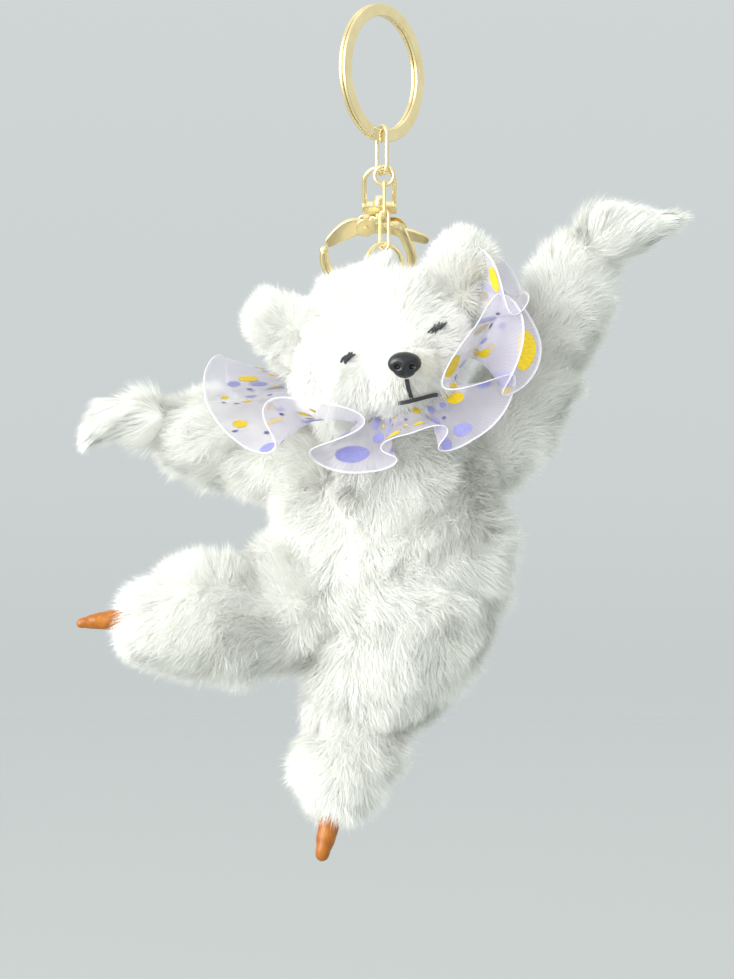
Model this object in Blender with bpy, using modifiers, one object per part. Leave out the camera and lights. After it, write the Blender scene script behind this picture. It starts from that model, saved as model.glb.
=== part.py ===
"""Plush bear keychain, modelled at its real size.

The bear faces -Y with +Z up and hangs from a split key ring, whose inner top is the origin.
Left and right are the bear's own, so its left side is at +X. Driving dimensions are in
millimetres and are turned into metres where the objects are made.
"""

import math

import bmesh
import bpy
from mathutils import Matrix, Vector

MM = 0.001
GAP = 0.3                   # air between pieces that touch
SOCKET_GAP = 0.6            # air between a ball's corners and its socket's flats

# Split key ring: one flat strip wound twice
RING_INNER_R = 12.3
RING_OUTER_R = 15.0
RING_STRIP = 0.85           # axial thickness of one coil
RING_TURN = math.radians(-35.4)   # direction that the ring's face normal points, from +X
RING_SPLIT_HALF = math.radians(8)
RING_CENTRE = Vector((0, 0, -RING_INNER_R))

# Oval link that hangs on the key ring
LINK_WIRE_R = 0.475
LINK_BEND_R = 2.125
LINK_TURN = math.radians(-59.6)
LINK_TOP = Vector((0, 0, -25.95))
LINK_BOTTOM_WIRE = -34.22

# Swivel bail and lobster clasp, in their own upright frame below the bail's pivot
CLASP_PIVOT = Vector((-0.56, 0.96, -34.0))
CLASP_LEAN = math.radians(30)
BAIL_WIRE_R = 0.55
BAIL_BEND_R = 3.3
BAIL_ARCH_TOP = 1.3
BAIL_BAR = (-8.2, 2.1, 2.4)      # height of its middle, its height and its depth
POST_R = 0.8
CLASP_DEPTH = 2.6
GATE_PIVOT = Vector((-2.9, 0, -12.5))
GATE_DEPTH = 1.2

# Chain from the oval link down to the head
CHAIN_RING_R = 2.05
CHAIN_RING_WIRE_R = 0.45
CHAIN_TOP = Vector((0.5, -0.84, -33.87))
CHAIN_WIRE_R = 0.38
CHAIN_BEND_R = 1.12
UPPER_LINK_BOTTOM = -43.5
LOWER_LINK_BOTTOM = -50.7
LOWER_LINK_TURN = math.radians(-35)
HEAD_RING_R = 4.35
HEAD_RING_WIRE_R = 0.55
HEAD_RING_TURN = math.radians(28)

# Head and what is on it
HEAD = Vector((0.65, -3.0, -70.3))
HEAD_R = 18.6
HEAD_ROLL = math.radians(-18.6)   # turn about +Y, so that the head's +X side is raised
SKIN = 3.0                  # fur fabric with its pile
MUZZLE = Vector((3.0, -12.5, -4.6))
MUZZLE_R = 9.5
EAR_R = 7.8
EAR_DEPTH = 3.6
EAR_PLACE = (20.9, -2.0, 10.6)    # in the head's own frame
PIT_R = 6.2                 # well in the crown that the jump ring sits in
NOSE = Vector((4.6, -25.3, -76.0))
NOSE_R = (3.6, 2.0, 2.7)
THREAD_R = 0.32

# Collar of gathered ribbon
COLLAR_INNER_R = 19.5
COLLAR_OUTER_R = 34.5
COLLAR_BELOW = 5.0          # its middle below the head's, along the collar's own axis
COLLAR_TILT = math.radians(42.5)
COLLAR_BACK_TILT = 0.0
COLLAR_THICK = 3.0
COLLAR_FORWARD = 9.0        # how far the shoulders push its sides forward

# Soft forms: stations (x, y, z, radius) along each spine
TORSO = [(2, 2, -88, 12), (5, 5, -103, 22.5), (5, 5, -122, 24.3), (0.5, 4, -139, 18.5), (-1.5, 3, -145, 13)]
ARM_RIGHT = [(-15, 6, -98, 10.5), (-29, 10, -93, 11.6), (-38, 10, -91, 11), (-42, 9, -90.3, 8)]
ARM_LEFT = [(24, 8, -94, 10.3), (31, 11, -82, 10.6), (37.5, 12, -70, 10), (41.5, 11.5, -59, 10), (42.8, 11, -54, 8)]
LEG_RIGHT = [(-17, 2, -131, 12), (-29, 0, -130.6, 13.7), (-39, -2, -130.4, 13.8), (-46.5, -3, -132, 10.8)]
LEG_LEFT = [(-4, 3, -154.5, 11.3), (-7, 2.6, -160, 12), (-9.6, 2, -165.5, 9.8)]
PAW_RIGHT = [(-51.4, 7.5, -87.2, 4.6), (-56, 6.5, -86.6, 4.4), (-60.5, 5.5, -88.4, 3.3), (-63.2, 5, -91.2, 1.6)]
PAW_LEFT = [(48.4, 10.4, -47.8, 5.6), (53, 10, -46.6, 4.9), (59, 9.5, -45, 3.3), (64.6, 9, -42.6, 1.2)]
TOE_RIGHT = [(-57.3, -3.4, -131, 2.1), (-60, -3.6, -131.1, 2.0), (-65, -4, -131.7, 1.1)]
TOE_LEFT = [(-11.2, 1.6, -175.1, 2.2), (-12, 1.4, -178, 2.2), (-13.1, 1, -182.4, 1.4)]
WIRE_R = 0.8

FUR_WHITE = (0.86, 0.87, 0.85)
FILLING_WHITE = (0.93, 0.93, 0.92)
GOLD = (0.83, 0.63, 0.27)
BLACK = (0.015, 0.015, 0.018)
TOE_ORANGE = (0.62, 0.23, 0.05)
RIBBON_LILAC = (0.80, 0.77, 0.90)
STEEL = (0.55, 0.56, 0.58)


def new_collection(name):
    found = bpy.data.collections.new(name)
    bpy.context.scene.collection.children.link(found)
    return found


def clear_scene():
    for obj in list(bpy.data.objects):
        bpy.data.objects.remove(obj, do_unlink=True)


def material(name, colour, roughness, metallic=0.0):
    mat = bpy.data.materials.new(name)
    mat.use_nodes = True
    shader = mat.node_tree.nodes["Principled BSDF"]
    shader.inputs["Base Color"].default_value = (*colour, 1)
    shader.inputs["Roughness"].default_value = roughness
    shader.inputs["Metallic"].default_value = metallic
    return mat


def fur(name):
    return material(name + "_fur", FUR_WHITE, 0.95)


def filling(name):
    return material(name + "_fibre", FILLING_WHITE, 1.0)


def gold(name):
    return material(name + "_gold", GOLD, 0.2, 1.0)


def add_object(name, data, mat=None, place=None, cutter=False):
    """An object in the parts collection, or in the cutters' collection and out of the render."""
    obj = bpy.data.objects.new(name, data)
    (CUTTERS if cutter else PARTS).objects.link(obj)
    if place is not None:
        obj.matrix_world = place
    if cutter:
        obj.hide_render = True
        obj.display_type = "WIRE"
    if mat is not None:
        data.materials.append(mat)
    return obj


def metres(point):
    return Vector(point) * MM


def moved(point):
    return Matrix.Translation(metres(point))


def smooth(mesh, angle=40):
    mesh.shade_smooth()
    mesh.set_sharp_from_angle(angle=math.radians(angle))


def mesh_from(build):
    """A mesh made by a function that fills a bmesh."""
    bm = bmesh.new()
    build(bm)
    mesh = bpy.data.meshes.new("form")
    bm.to_mesh(mesh)
    bm.free()
    smooth(mesh)
    return mesh


def sphere_mesh(radii, segments=20, rings=12):
    size = Matrix.Diagonal((*[r * MM for r in radii], 1))
    return mesh_from(lambda bm: bmesh.ops.create_uvsphere(
        bm, u_segments=segments, v_segments=rings, radius=1, matrix=size))


def cylinder_mesh(radius, length, segments=16, top_radius=None):
    return mesh_from(lambda bm: bmesh.ops.create_cone(
        bm, cap_ends=True, segments=segments, radius1=radius * MM,
        radius2=(radius if top_radius is None else top_radius) * MM, depth=length * MM))


def box_mesh(size):
    scale = Matrix.Diagonal((*[s * MM for s in size], 1))
    return mesh_from(lambda bm: bmesh.ops.create_cube(bm, size=1, matrix=scale))


def curve_data(points, radius, closed=False, resolution=2, flat_radii=None):
    """A tube along points in millimetres, with a radius of its own at each point if flat_radii is given."""
    data = bpy.data.curves.new("path", "CURVE")
    data.dimensions = "3D"
    data.bevel_depth = radius * MM
    data.bevel_resolution = resolution
    data.use_fill_caps = not closed
    spline = data.splines.new("POLY")
    spline.points.add(len(points) - 1)
    for i, point in enumerate(points):
        spline.points[i].co = (*metres(point), 1)
        spline.points[i].radius = 1 if flat_radii is None else flat_radii[i] / radius
    spline.use_cyclic_u = closed
    spline.use_smooth = True
    return data


def solid_of(curve):
    """The closed mesh of a curve's tube, with its caps welded on."""
    helper = bpy.data.objects.new("helper", curve)
    CUTTERS.objects.link(helper)
    graph = bpy.context.evaluated_depsgraph_get()
    mesh = bpy.data.meshes.new_from_object(helper.evaluated_get(graph))
    bpy.data.objects.remove(helper)
    bm = bmesh.new()
    bm.from_mesh(mesh)
    bmesh.ops.remove_doubles(bm, verts=bm.verts, dist=1e-6)
    bmesh.ops.recalc_face_normals(bm, faces=bm.faces)
    bm.to_mesh(mesh)
    bm.free()
    mesh.materials.clear()
    return mesh


def between(a, b, c, d, t):
    """A point on the Catmull-Rom curve from b to c."""
    return [0.5 * (2 * q + (r - p) * t + (2 * p - 5 * q + 4 * r - s) * t * t
                   + (3 * q - p - 3 * r + s) * t ** 3) for p, q, r, s in zip(a, b, c, d)]


def smooth_path(stations, steps):
    """Stations with steps between each pair, on one smooth curve."""
    ends = [stations[0]] + list(stations) + [stations[-1]]
    path = []
    for i in range(len(stations) - 1):
        path += [between(*ends[i:i + 4], t / steps) for t in range(steps)]
    return path + [list(stations[-1])]


def soft_form(stations, inset=0.0, sides=12, steps=2, cap_rows=2):
    """A round closed form along its stations, with a rounded end about the first and the last."""
    path = smooth_path(stations, steps)
    rows = [(Vector(p[:3]), p[3] - inset) for p in path]
    ends = []
    for (centre, radius), (inner, _) in ((rows[0], rows[1]), (rows[-1], rows[-2])):
        out = (centre - inner).normalized()
        angles = [math.pi / 2 * (k + 1) / (cap_rows + 0.35) for k in range(cap_rows)]
        ends.append([(centre + out * radius * math.sin(a), radius * math.cos(a)) for a in angles])
    rows = ends[0][::-1] + rows + ends[1]
    data = curve_data([p for p, _ in rows], 1, resolution=(sides - 4) // 2,
                      flat_radii=[r for _, r in rows])
    data.twist_mode = "MINIMUM"
    mesh = solid_of(data)
    smooth(mesh, 60)
    return mesh


def boolean(obj, cutter, operation="DIFFERENCE"):
    modifier = obj.modifiers.new(cutter.name, "BOOLEAN")
    modifier.operation = operation
    modifier.object = cutter


def cut(obj, name, mesh, place=None, operation="DIFFERENCE"):
    """Cuts obj with a mesh, or joins it on, and gives the cutter back for use on other objects."""
    cutter = add_object(name, mesh, place=place, cutter=True)
    boolean(obj, cutter, operation)
    return cutter


def oval_points(bend_r, top, bottom_z, turn, bend_steps=6):
    """The middle line of an upright oval link: both bends are half circles of bend_r about top and bottom."""
    side = Vector((math.cos(turn), math.sin(turn), 0))
    low = Vector((top.x, top.y, bottom_z + bend_r))
    points = []
    for centre, start in ((top, 0.0), (low, math.pi)):
        for k in range(bend_steps + 1):
            a = start + math.pi * k / bend_steps
            points.append(centre + side * bend_r * math.cos(a) + Vector((0, 0, bend_r * math.sin(a))))
    return points


# ------------------------------------------------------------------ hardware


def key_ring():
    """The strip is one path of nearly two turns: the turns lie side by side, and it steps over where both ends stop."""
    radius = (RING_INNER_R + RING_OUTER_R) / 2
    half = (RING_STRIP + 0.3) / 2
    j = RING_SPLIT_HALF
    steps = 60
    profile = bpy.data.curves.new("strip", "CURVE")
    profile.dimensions = "2D"
    edge = profile.splines.new("POLY")
    w, t = (RING_OUTER_R - RING_INNER_R) / 2, RING_STRIP / 2
    chamfer = 0.25
    corners = [(-w, t - chamfer), (-w, chamfer - t), (chamfer - w, -t), (w - chamfer, -t),
               (w, chamfer - t), (w, t - chamfer), (w - chamfer, t), (chamfer - w, t)]
    edge.points.add(len(corners) - 1)
    for point, (x, y) in zip(edge.points, corners):
        point.co = (x * MM, y * MM, 0, 1)
    edge.use_cyclic_u = True
    section = add_object("strip_section", profile, cutter=True)
    points = []
    for k in range(steps + 1):
        a = j * 1.3 + (4 * math.pi - 2.6 * j) * k / steps
        over = min(1.0, max(-1.0, (a - 2 * math.pi) / j))
        level = half * math.sin(over * math.pi / 2)
        points.append((radius * math.cos(a), radius * math.sin(a), level))
    data = curve_data(points, 1)
    data.bevel_mode = "OBJECT"
    data.bevel_object = section
    data.twist_mode = "Z_UP"
    upright = Matrix(((math.sin(-RING_TURN), 0, math.cos(RING_TURN)),
                      (math.cos(RING_TURN), 0, math.sin(RING_TURN)),
                      (0, 1, 0))).to_4x4()
    turned = Matrix.Rotation(math.radians(70), 4, "Z")
    ring = add_object("key_ring", solid_of(data), gold("key_ring"), moved(RING_CENTRE) @ upright @ turned)
    smooth(ring.data)


def link_of_wire(name, points, wire_r, centre):
    """A closed ring of round wire, its origin at the point it hangs from."""
    shifted = [p - centre for p in points]
    add_object(name, curve_data(shifted, wire_r, closed=True), gold(name), moved(centre))


def ring_link():
    low = LINK_BOTTOM_WIRE
    link_of_wire("ring_link", oval_points(LINK_BEND_R, LINK_TOP, low, LINK_TURN), LINK_WIRE_R, LINK_TOP)


def circle_points(centre, radius, turn, steps=16):
    side = Vector((math.cos(turn), math.sin(turn), 0))
    return [centre + side * radius * math.cos(a) + Vector((0, 0, radius * math.sin(a)))
            for a in (2 * math.pi * k / steps for k in range(steps))]


def chain():
    """Small ring, two links at right angles, and the jump ring that goes into the head."""
    ring_centre = CHAIN_TOP + Vector((0, 0, GAP + LINK_WIRE_R + CHAIN_RING_WIRE_R - CHAIN_RING_R))
    link_of_wire("chain_ring", circle_points(ring_centre, CHAIN_RING_R, 0, 14), CHAIN_RING_WIRE_R, CHAIN_TOP)
    upper_top = ring_centre - Vector((0, 0, CHAIN_RING_R))
    upper = oval_points(CHAIN_BEND_R, upper_top, UPPER_LINK_BOTTOM, math.radians(90))
    link_of_wire("chain_link_upper", upper, CHAIN_WIRE_R, upper_top)
    lower_top = Vector((upper_top.x, upper_top.y, UPPER_LINK_BOTTOM))
    lower = oval_points(CHAIN_BEND_R, lower_top, LOWER_LINK_BOTTOM, LOWER_LINK_TURN)
    link_of_wire("chain_link_lower", lower, CHAIN_WIRE_R, lower_top)
    head_top = Vector((lower_top.x, lower_top.y, LOWER_LINK_BOTTOM))
    rise = CHAIN_WIRE_R + GAP + HEAD_RING_WIRE_R
    head_ring_centre = head_top + Vector((0, 0, rise - HEAD_RING_R))
    circle = circle_points(head_ring_centre, HEAD_RING_R, HEAD_RING_TURN)
    link_of_wire("head_ring", circle, HEAD_RING_WIRE_R, head_top)
    return head_ring_centre - Vector((0, 0, HEAD_RING_R))


def clasp_frame():
    """An empty at the bail's pivot, leaning back over the head. The clasp's pieces are made upright under it."""
    frame = bpy.data.objects.new("clasp_frame", None)
    PARTS.objects.link(frame)
    frame.matrix_world = moved(CLASP_PIVOT) @ Matrix.Rotation(CLASP_LEAN, 4, "X")
    return frame


def on_clasp(name, data, mat, frame, at=(0, 0, 0), turn=None):
    obj = add_object(name, data, mat)
    obj.parent = frame
    obj.location = metres(at)
    if turn is not None:
        obj.rotation_euler = turn
    return obj


def cutter_on_clasp(obj, name, mesh, frame, at=(0, 0, 0), turn=(0, 0, 0), operation="DIFFERENCE"):
    cutter = cut(obj, name, mesh, operation=operation)
    cutter.parent = frame
    cutter.location = metres(at)
    cutter.rotation_euler = turn
    return cutter


def bail(frame):
    """A D of wire whose straight side is a bar with the swivel post's hole in it."""
    bar_z, bar_h, bar_d = BAIL_BAR
    centre = BAIL_ARCH_TOP - BAIL_BEND_R
    arch = [(BAIL_BEND_R, 0, bar_z), (BAIL_BEND_R, 0, centre - 2)]
    arch += [(BAIL_BEND_R * math.cos(a), 0, centre + BAIL_BEND_R * math.sin(a))
             for a in (math.pi * k / 10 for k in range(11))]
    arch += [(-BAIL_BEND_R, 0, centre - 2), (-BAIL_BEND_R, 0, bar_z)]
    obj = on_clasp("clasp_bail", solid_of(curve_data(arch, BAIL_WIRE_R)), gold("clasp_bail"), frame)
    width = 2 * (BAIL_BEND_R + BAIL_WIRE_R)
    cutter_on_clasp(obj, "bail_bar", box_mesh((width, bar_d, bar_h)), frame, (0, 0, bar_z), operation="UNION")
    cutter_on_clasp(obj, "bail_hole", cylinder_mesh(POST_R + GAP, 4), frame, (0, 0, bar_z))


def post(frame):
    """A rivet: its head stands on the bail's bar and its foot is fast in the clasp body."""
    bar_z, bar_h, _ = BAIL_BAR
    top = bar_z + bar_h / 2 + GAP
    foot = -10.2
    obj = on_clasp("swivel_post", cylinder_mesh(POST_R, top - foot), gold("swivel_post"), frame,
                   (0, 0, (top + foot) / 2))
    cutter_on_clasp(obj, "post_head", cylinder_mesh(1.45, 1.3, top_radius=0.9), frame,
                    (0, 0, top + 0.6), operation="UNION")


def outline_solid(points, depth):
    """A flat outline in the XZ plane, in millimetres, as a plate of this depth."""
    data = bpy.data.curves.new("outline", "CURVE")
    data.dimensions = "2D"
    data.fill_mode = "BOTH"
    data.extrude = depth / 2 * MM
    spline = data.splines.new("POLY")
    spline.points.add(len(points) - 1)
    for point, (x, z) in zip(spline.points, points):
        point.co = (x * MM, z * MM, 0, 1)
    spline.use_cyclic_u = True
    mesh = solid_of(data)
    mesh.transform(Matrix.Rotation(math.pi / 2, 4, "X"))
    return mesh


def clasp_body(frame):
    """A hook of rounded bar: down from the neck on the bear's left, round the bottom and up to the gate's tip."""
    hook = [(1.8, 0, -11.9, 1.6), (4.2, 0, -12.6, 1.9), (6.2, 0, -16.5, 1.6), (7.2, 0, -21, 1.5),
            (5.6, 0, -26, 1.6), (1.0, 0, -29.6, 1.7), (-5.0, 0, -29.4, 1.7), (-9.8, 0, -26, 1.6),
            (-12.0, 0, -21.5, 1.4), (-12.2, 0, -18.6, 1.1)]
    mesh = soft_form(hook, sides=10, steps=3, cap_rows=2)
    mesh.transform(Matrix.Diagonal((1, CLASP_DEPTH / 2 / 1.6, 1, 1)))
    obj = on_clasp("clasp_body", mesh, gold("clasp_body"), frame)
    cutter_on_clasp(obj, "clasp_neck", cylinder_mesh(2.3, 1.5), frame, (0, 0, -10.3), operation="UNION")
    cutter_on_clasp(obj, "clasp_hub", cylinder_mesh(2.9, CLASP_DEPTH + 0.6, 20), frame,
                    GATE_PIVOT, (math.pi / 2, 0, 0), "UNION")
    slot = [(-16, -12), (-9.2, -11.6), (-6.4, -10.2), (-3.9, -10.4), (-2.9, -10.5), (-1.5, -11.0), (-0.6, -11.35),
            (1.0, -11.2), (2.5, -10.1), (6, -8.8), (14, -8.8), (14, -17.3), (8.6, -17.0), (5, -15.7), (1.5, -14.8),
            (-2, -14.6), (-5, -16.5), (-9, -19), (-10.5, -17.4), (-16, -17.4)]
    cutter_on_clasp(obj, "gate_slot", outline_solid(slot, GATE_DEPTH + 2 * GAP), frame)
    cutter_on_clasp(obj, "post_socket", cylinder_mesh(POST_R + GAP, 2), frame, (0, 0, -9.7))
    cutter_on_clasp(obj, "pin_bore", cylinder_mesh(0.55 + 0.06, 6), frame, GATE_PIVOT, (math.pi / 2, 0, 0))


def clasp_gate(frame):
    """A lever on the pin: one arm closes the hook, the other is the thumb tab. Its hub holds the spring."""
    edge = [(-11.9, -15.9), (-9.1, -12.4), (-6.4, -10.9), (-3.9, -11.0), (-2.9, -10.9), (-1.8, -11.4),
            (-0.8, -12.1), (2.5, -12.4), (5.0, -12.9), (8.3, -13.9), (10.5, -15.0), (11.0, -15.9), (10.3, -16.8),
            (8.6, -16.5), (5.0, -15.3), (1.5, -14.4), (-2.0, -14.2), (-4.5, -14.6), (-8.0, -16.2), (-11.0, -17.6)]
    local = [(x - GATE_PIVOT.x, z - GATE_PIVOT.z) for x, z in edge]
    gate = on_clasp("clasp_gate", outline_solid(local, GATE_DEPTH), gold("clasp_gate"), frame, GATE_PIVOT)
    turn = (math.pi / 2, 0, 0)
    cutter_on_clasp(gate, "gate_bore", cylinder_mesh(0.55 + 0.06, 4), frame, GATE_PIVOT, turn)
    cutter_on_clasp(gate, "spring_well", cylinder_mesh(1.25, GATE_DEPTH, 16), frame,
                    GATE_PIVOT + Vector((0, GATE_DEPTH * 0.6, 0)), turn)
    on_clasp("gate_pin", cylinder_mesh(0.55, CLASP_DEPTH + 1.2, 20), gold("gate_pin"), frame, GATE_PIVOT, turn)
    coils = 2.5
    path = [(0.95 * math.cos(a), 0.16 + 0.26 * a / (2 * math.pi), 0.95 * math.sin(a))
            for a in (2 * math.pi * coils * k / 30 for k in range(31))]
    on_clasp("gate_spring", curve_data(path, 0.09, resolution=0), material("spring_steel", STEEL, 0.3, 1.0),
             frame, GATE_PIVOT)


# ------------------------------------------------------------------ plush


def head_place(point):
    """A place given in the head's own frame, which is rolled to its left."""
    return HEAD + Matrix.Rotation(HEAD_ROLL, 3, "Y") @ Vector(point)


def stuffed(name, stations, opening_r=3.0, sides=12, steps=2):
    """A fur skin with its filling inside. The skin is open at the root, where the wire comes out."""
    skin = add_object(name + "_skin", soft_form(stations, 0, sides, steps), fur(name))
    cut(skin, name + "_hollow", soft_form(stations, SKIN, sides, steps))
    if opening_r:
        root, next_one = (Vector(s[:3]) for s in stations[:2])
        out = (root - next_one).normalized()
        place = moved(root + out * stations[0][3]) @ out.to_track_quat("Z", "Y").to_matrix().to_4x4()
        cut(skin, name + "_opening", cylinder_mesh(opening_r, 9, 14), place)
    core = add_object(name + "_stuffing", soft_form(stations, SKIN + GAP, sides, steps), filling(name))
    return skin, core


def armature_wire(name, points, core, others=()):
    """A bendable wire through the filling, in a channel that is open where the wire comes out."""
    wire = curve_data(points, WIRE_R)
    add_object(name, wire, material(name + "_steel", STEEL, 0.4, 1.0))
    channel = cut(core, name + "_channel", solid_of(curve_data(extended(points, 1.5), WIRE_R + GAP)))
    for other in others:
        boolean(other, channel)


def extended(points, past):
    """The same path, running on past both its ends."""
    points = [Vector(p) for p in points]
    first = points[0] + (points[0] - points[1]).normalized() * past
    last = points[-1] + (points[-1] - points[-2]).normalized() * past
    return [first] + points[1:-1] + [last]


def limb(name, stations, wire_name, keep_end):
    """Skin, filling and wire of an arm or leg. Its root is a ball that turns in the torso."""
    skin, core = stuffed(name, stations)
    path = [Vector(p[:3]) for p in smooth_path(stations, 3)]
    out = (path[0] - path[1]).normalized()
    start = path[0] + out * (stations[0][3] - 0.6)
    middle = [p for p in path[1:] if (path[-1] - p).length > keep_end]
    armature_wire(wire_name, [start, path[0]] + middle, core)
    return skin


def ball_socket(name, stations, objects):
    centre, radius = stations[0][:3], stations[0][3] + SOCKET_GAP
    cutter = None
    for obj in objects:
        if cutter is None:
            cutter = cut(obj, name + "_socket", sphere_mesh((radius,) * 3), moved(centre))
        else:
            boolean(obj, cutter)


def torso():
    skin, core = stuffed("torso", TORSO, 0, 18, 2)
    for name, stations in (("arm_right", ARM_RIGHT), ("arm_left", ARM_LEFT),
                           ("leg_right", LEG_RIGHT), ("leg_left", LEG_LEFT)):
        ball_socket(name, stations, (skin, core))
    neck = cut(skin, "neck_socket", sphere_mesh((HEAD_R + SOCKET_GAP,) * 3), moved(HEAD))
    boolean(core, neck)
    spine = [(1.6, 0.4, -90.2), (3.4, 2.6, -97), (5, 5, -108), (4.6, 5, -124), (1.5, 4, -138)]
    armature_wire("spine_wire", spine, core, (skin,))
    shoulders = [(-4.0, 6.6, -95.4), (5, 8.0, -94.6), (13.4, 8.0, -94.2)]
    armature_wire("shoulder_wire", shoulders, core)


def head(head_hang):
    """Skin and filling with a muzzle, a well in the crown for the jump ring, and an opening at the neck."""
    roll = Matrix.Rotation(HEAD_ROLL, 4, "Y")
    skin = add_object("head_skin", sphere_mesh((HEAD_R,) * 3, 24, 14), fur("head"), moved(HEAD) @ roll)
    core = add_object("head_stuffing", sphere_mesh((HEAD_R - SKIN - GAP,) * 3, 16, 10), filling("head"),
                      moved(HEAD) @ roll)
    muzzle = HEAD + MUZZLE
    cut(skin, "muzzle_out", sphere_mesh((MUZZLE_R,) * 3, 16, 10), moved(muzzle), "UNION")
    hollow = add_object("head_hollow", sphere_mesh((HEAD_R - SKIN,) * 3, 16, 10), place=moved(HEAD) @ roll,
                        cutter=True)
    cut(hollow, "muzzle_hollow", sphere_mesh((MUZZLE_R - SKIN,) * 3, 12, 8), moved(muzzle), "UNION")
    boolean(skin, hollow)
    cut(core, "muzzle_in", sphere_mesh((MUZZLE_R - SKIN - GAP,) * 3, 12, 8), moved(muzzle), "UNION")
    pit_low = head_hang.z - 2.2
    pit = cut(skin, "crown_well", cylinder_mesh(PIT_R, 16, 18, PIT_R + 1.5),
              moved((head_hang.x, head_hang.y, pit_low + 8)))
    boolean(core, pit)
    neck = [head_place((-0.5, 0, -4)), (1.4, -0.2, -82), (1.5, 0.1, -88.4)]
    armature_wire("neck_wire", neck, core, (skin,))
    anchor_loop(head_hang, core)
    nose(skin, core)
    return skin


def anchor_loop(head_hang, core):
    """A cord staple: its top bar lies on the jump ring and both its legs are sewn down into the filling."""
    normal = Vector((-math.sin(HEAD_RING_TURN), math.cos(HEAD_RING_TURN), 0))
    cord_r = 0.7
    top = head_hang + Vector((0, 0, HEAD_RING_WIRE_R + GAP + cord_r))
    half, corner = 3.2, 1.0
    path = [top + normal * half - Vector((0, 0, 9)), top + normal * half - Vector((0, 0, corner)),
            top + normal * (half - corner)]
    path += [top - normal * (half - corner), top - normal * half - Vector((0, 0, corner)),
             top - normal * half - Vector((0, 0, 9))]
    add_object("head_loop", curve_data(path, cord_r), material("loop_cord", FUR_WHITE, 0.9))
    channel_path = extended(path, 0.6)
    cut(core, "loop_channel", solid_of(curve_data(channel_path, cord_r + GAP)))


def nose(skin, core):
    """A moulded nose on a post, held behind the skin by a lock washer."""
    obj = add_object("nose", sphere_mesh(NOSE_R, 16, 10), material("nose_plastic", BLACK, 0.15), moved(NOSE))
    turn = Matrix.Rotation(math.pi / 2, 4, "X")
    cut(obj, "nose_post", cylinder_mesh(0.9, 7.5, 12), moved(NOSE + Vector((0, 3.6, 0))) @ turn, "UNION")
    recess = [r + GAP for r in NOSE_R]
    cut(skin, "nose_recess", sphere_mesh(recess, 16, 10), moved(NOSE))
    hole = cut(skin, "nose_hole", cylinder_mesh(0.9 + GAP, 9.5, 12), moved(NOSE + Vector((0, 3.6, 0))) @ turn)
    boolean(core, hole)
    at = NOSE + Vector((0, 5.7, 0))
    washer = add_object("nose_washer", cylinder_mesh(2.6, 0.7, 20), material("washer_nylon", (0.8, 0.8, 0.78), 0.5),
                        moved(at) @ turn)
    cut(washer, "washer_hole", cylinder_mesh(0.9 + 0.1, 3, 12), moved(at) @ turn)
    cut(core, "washer_well", cylinder_mesh(2.6 + GAP, 1.3, 20), moved(at) @ turn)


def ears(skin):
    roll = Matrix.Rotation(HEAD_ROLL, 4, "Y")
    x, y, z = EAR_PLACE
    for side, sign in (("right", -1), ("left", 1)):
        place = moved(head_place((sign * x, y, z))) @ roll
        ear = add_object("ear_" + side, sphere_mesh((EAR_R, EAR_DEPTH, EAR_R), 16, 10), fur("ear_" + side), place)
        cut(ear, "ear_base_" + side, sphere_mesh((HEAD_R + SOCKET_GAP,) * 3), moved(HEAD))


def on_face(x, z, over):
    """The point this far over the front of the head or its muzzle, whichever stands further out."""
    fronts = []
    for centre, radius in ((HEAD, HEAD_R + over), (HEAD + MUZZLE, MUZZLE_R + over)):
        depth = radius ** 2 - (x - centre.x) ** 2 - (z - centre.z) ** 2
        if depth > 0:
            fronts.append(centre.y - math.sqrt(depth))
    return Vector((x, min(fronts), z))


def stitched(name, path, mat_name):
    add_object(name, curve_data(path, THREAD_R), material(mat_name, BLACK, 0.7))


def face_stitches():
    """Closed eyes on the head and the mouth on the muzzle, as lines of thread just over the fabric."""
    over = THREAD_R + GAP
    for name, (x, z), slope in (("eye_stitch_right", (-7.4, -75.1), 0.15), ("eye_stitch_left", (11.3, -68.8), 0.35)):
        path = [on_face(x + dx, z + slope * dx - 0.05 * dx * dx, over) for dx in (-2, -1, 0, 1, 2)]
        stitched(name, path, name + "_thread")
    mouth = [on_face(x, z, over) for x, z in ((4.3, -79.6), (4.2, -81.4), (5.4, -82.1), (7.4, -81.6), (9.2, -80.6))]
    stitched("mouth_stitch", mouth, "mouth_thread")


def collar_point(angle, r, lift):
    """A point of the collar: angle 0 is at its left side and a quarter turn is its back."""
    ez = Matrix.Rotation(HEAD_ROLL, 3, "Y") @ Vector((0, 0, 1))
    ex = Matrix.Rotation(HEAD_ROLL, 3, "Y") @ Vector((1, 0, 0))
    ey = Vector((0, 1, 0))
    back = max(0.0, math.sin(angle - math.radians(15))) ** 2
    tilt = COLLAR_TILT + (COLLAR_BACK_TILT - COLLAR_TILT) * back
    normal = ez * math.cos(COLLAR_TILT) - ey * math.sin(COLLAR_TILT)
    backward = ey * math.cos(tilt) + ez * math.sin(tilt)
    centre = HEAD - normal * COLLAR_BELOW
    outward = (r - COLLAR_INNER_R) / (COLLAR_OUTER_R - COLLAR_INNER_R)
    point = centre + ex * r * math.cos(angle) + backward * r * math.sin(angle) + normal * lift
    side = math.cos(angle) ** 2
    point.y -= COLLAR_FORWARD * side * outward
    return point


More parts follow.
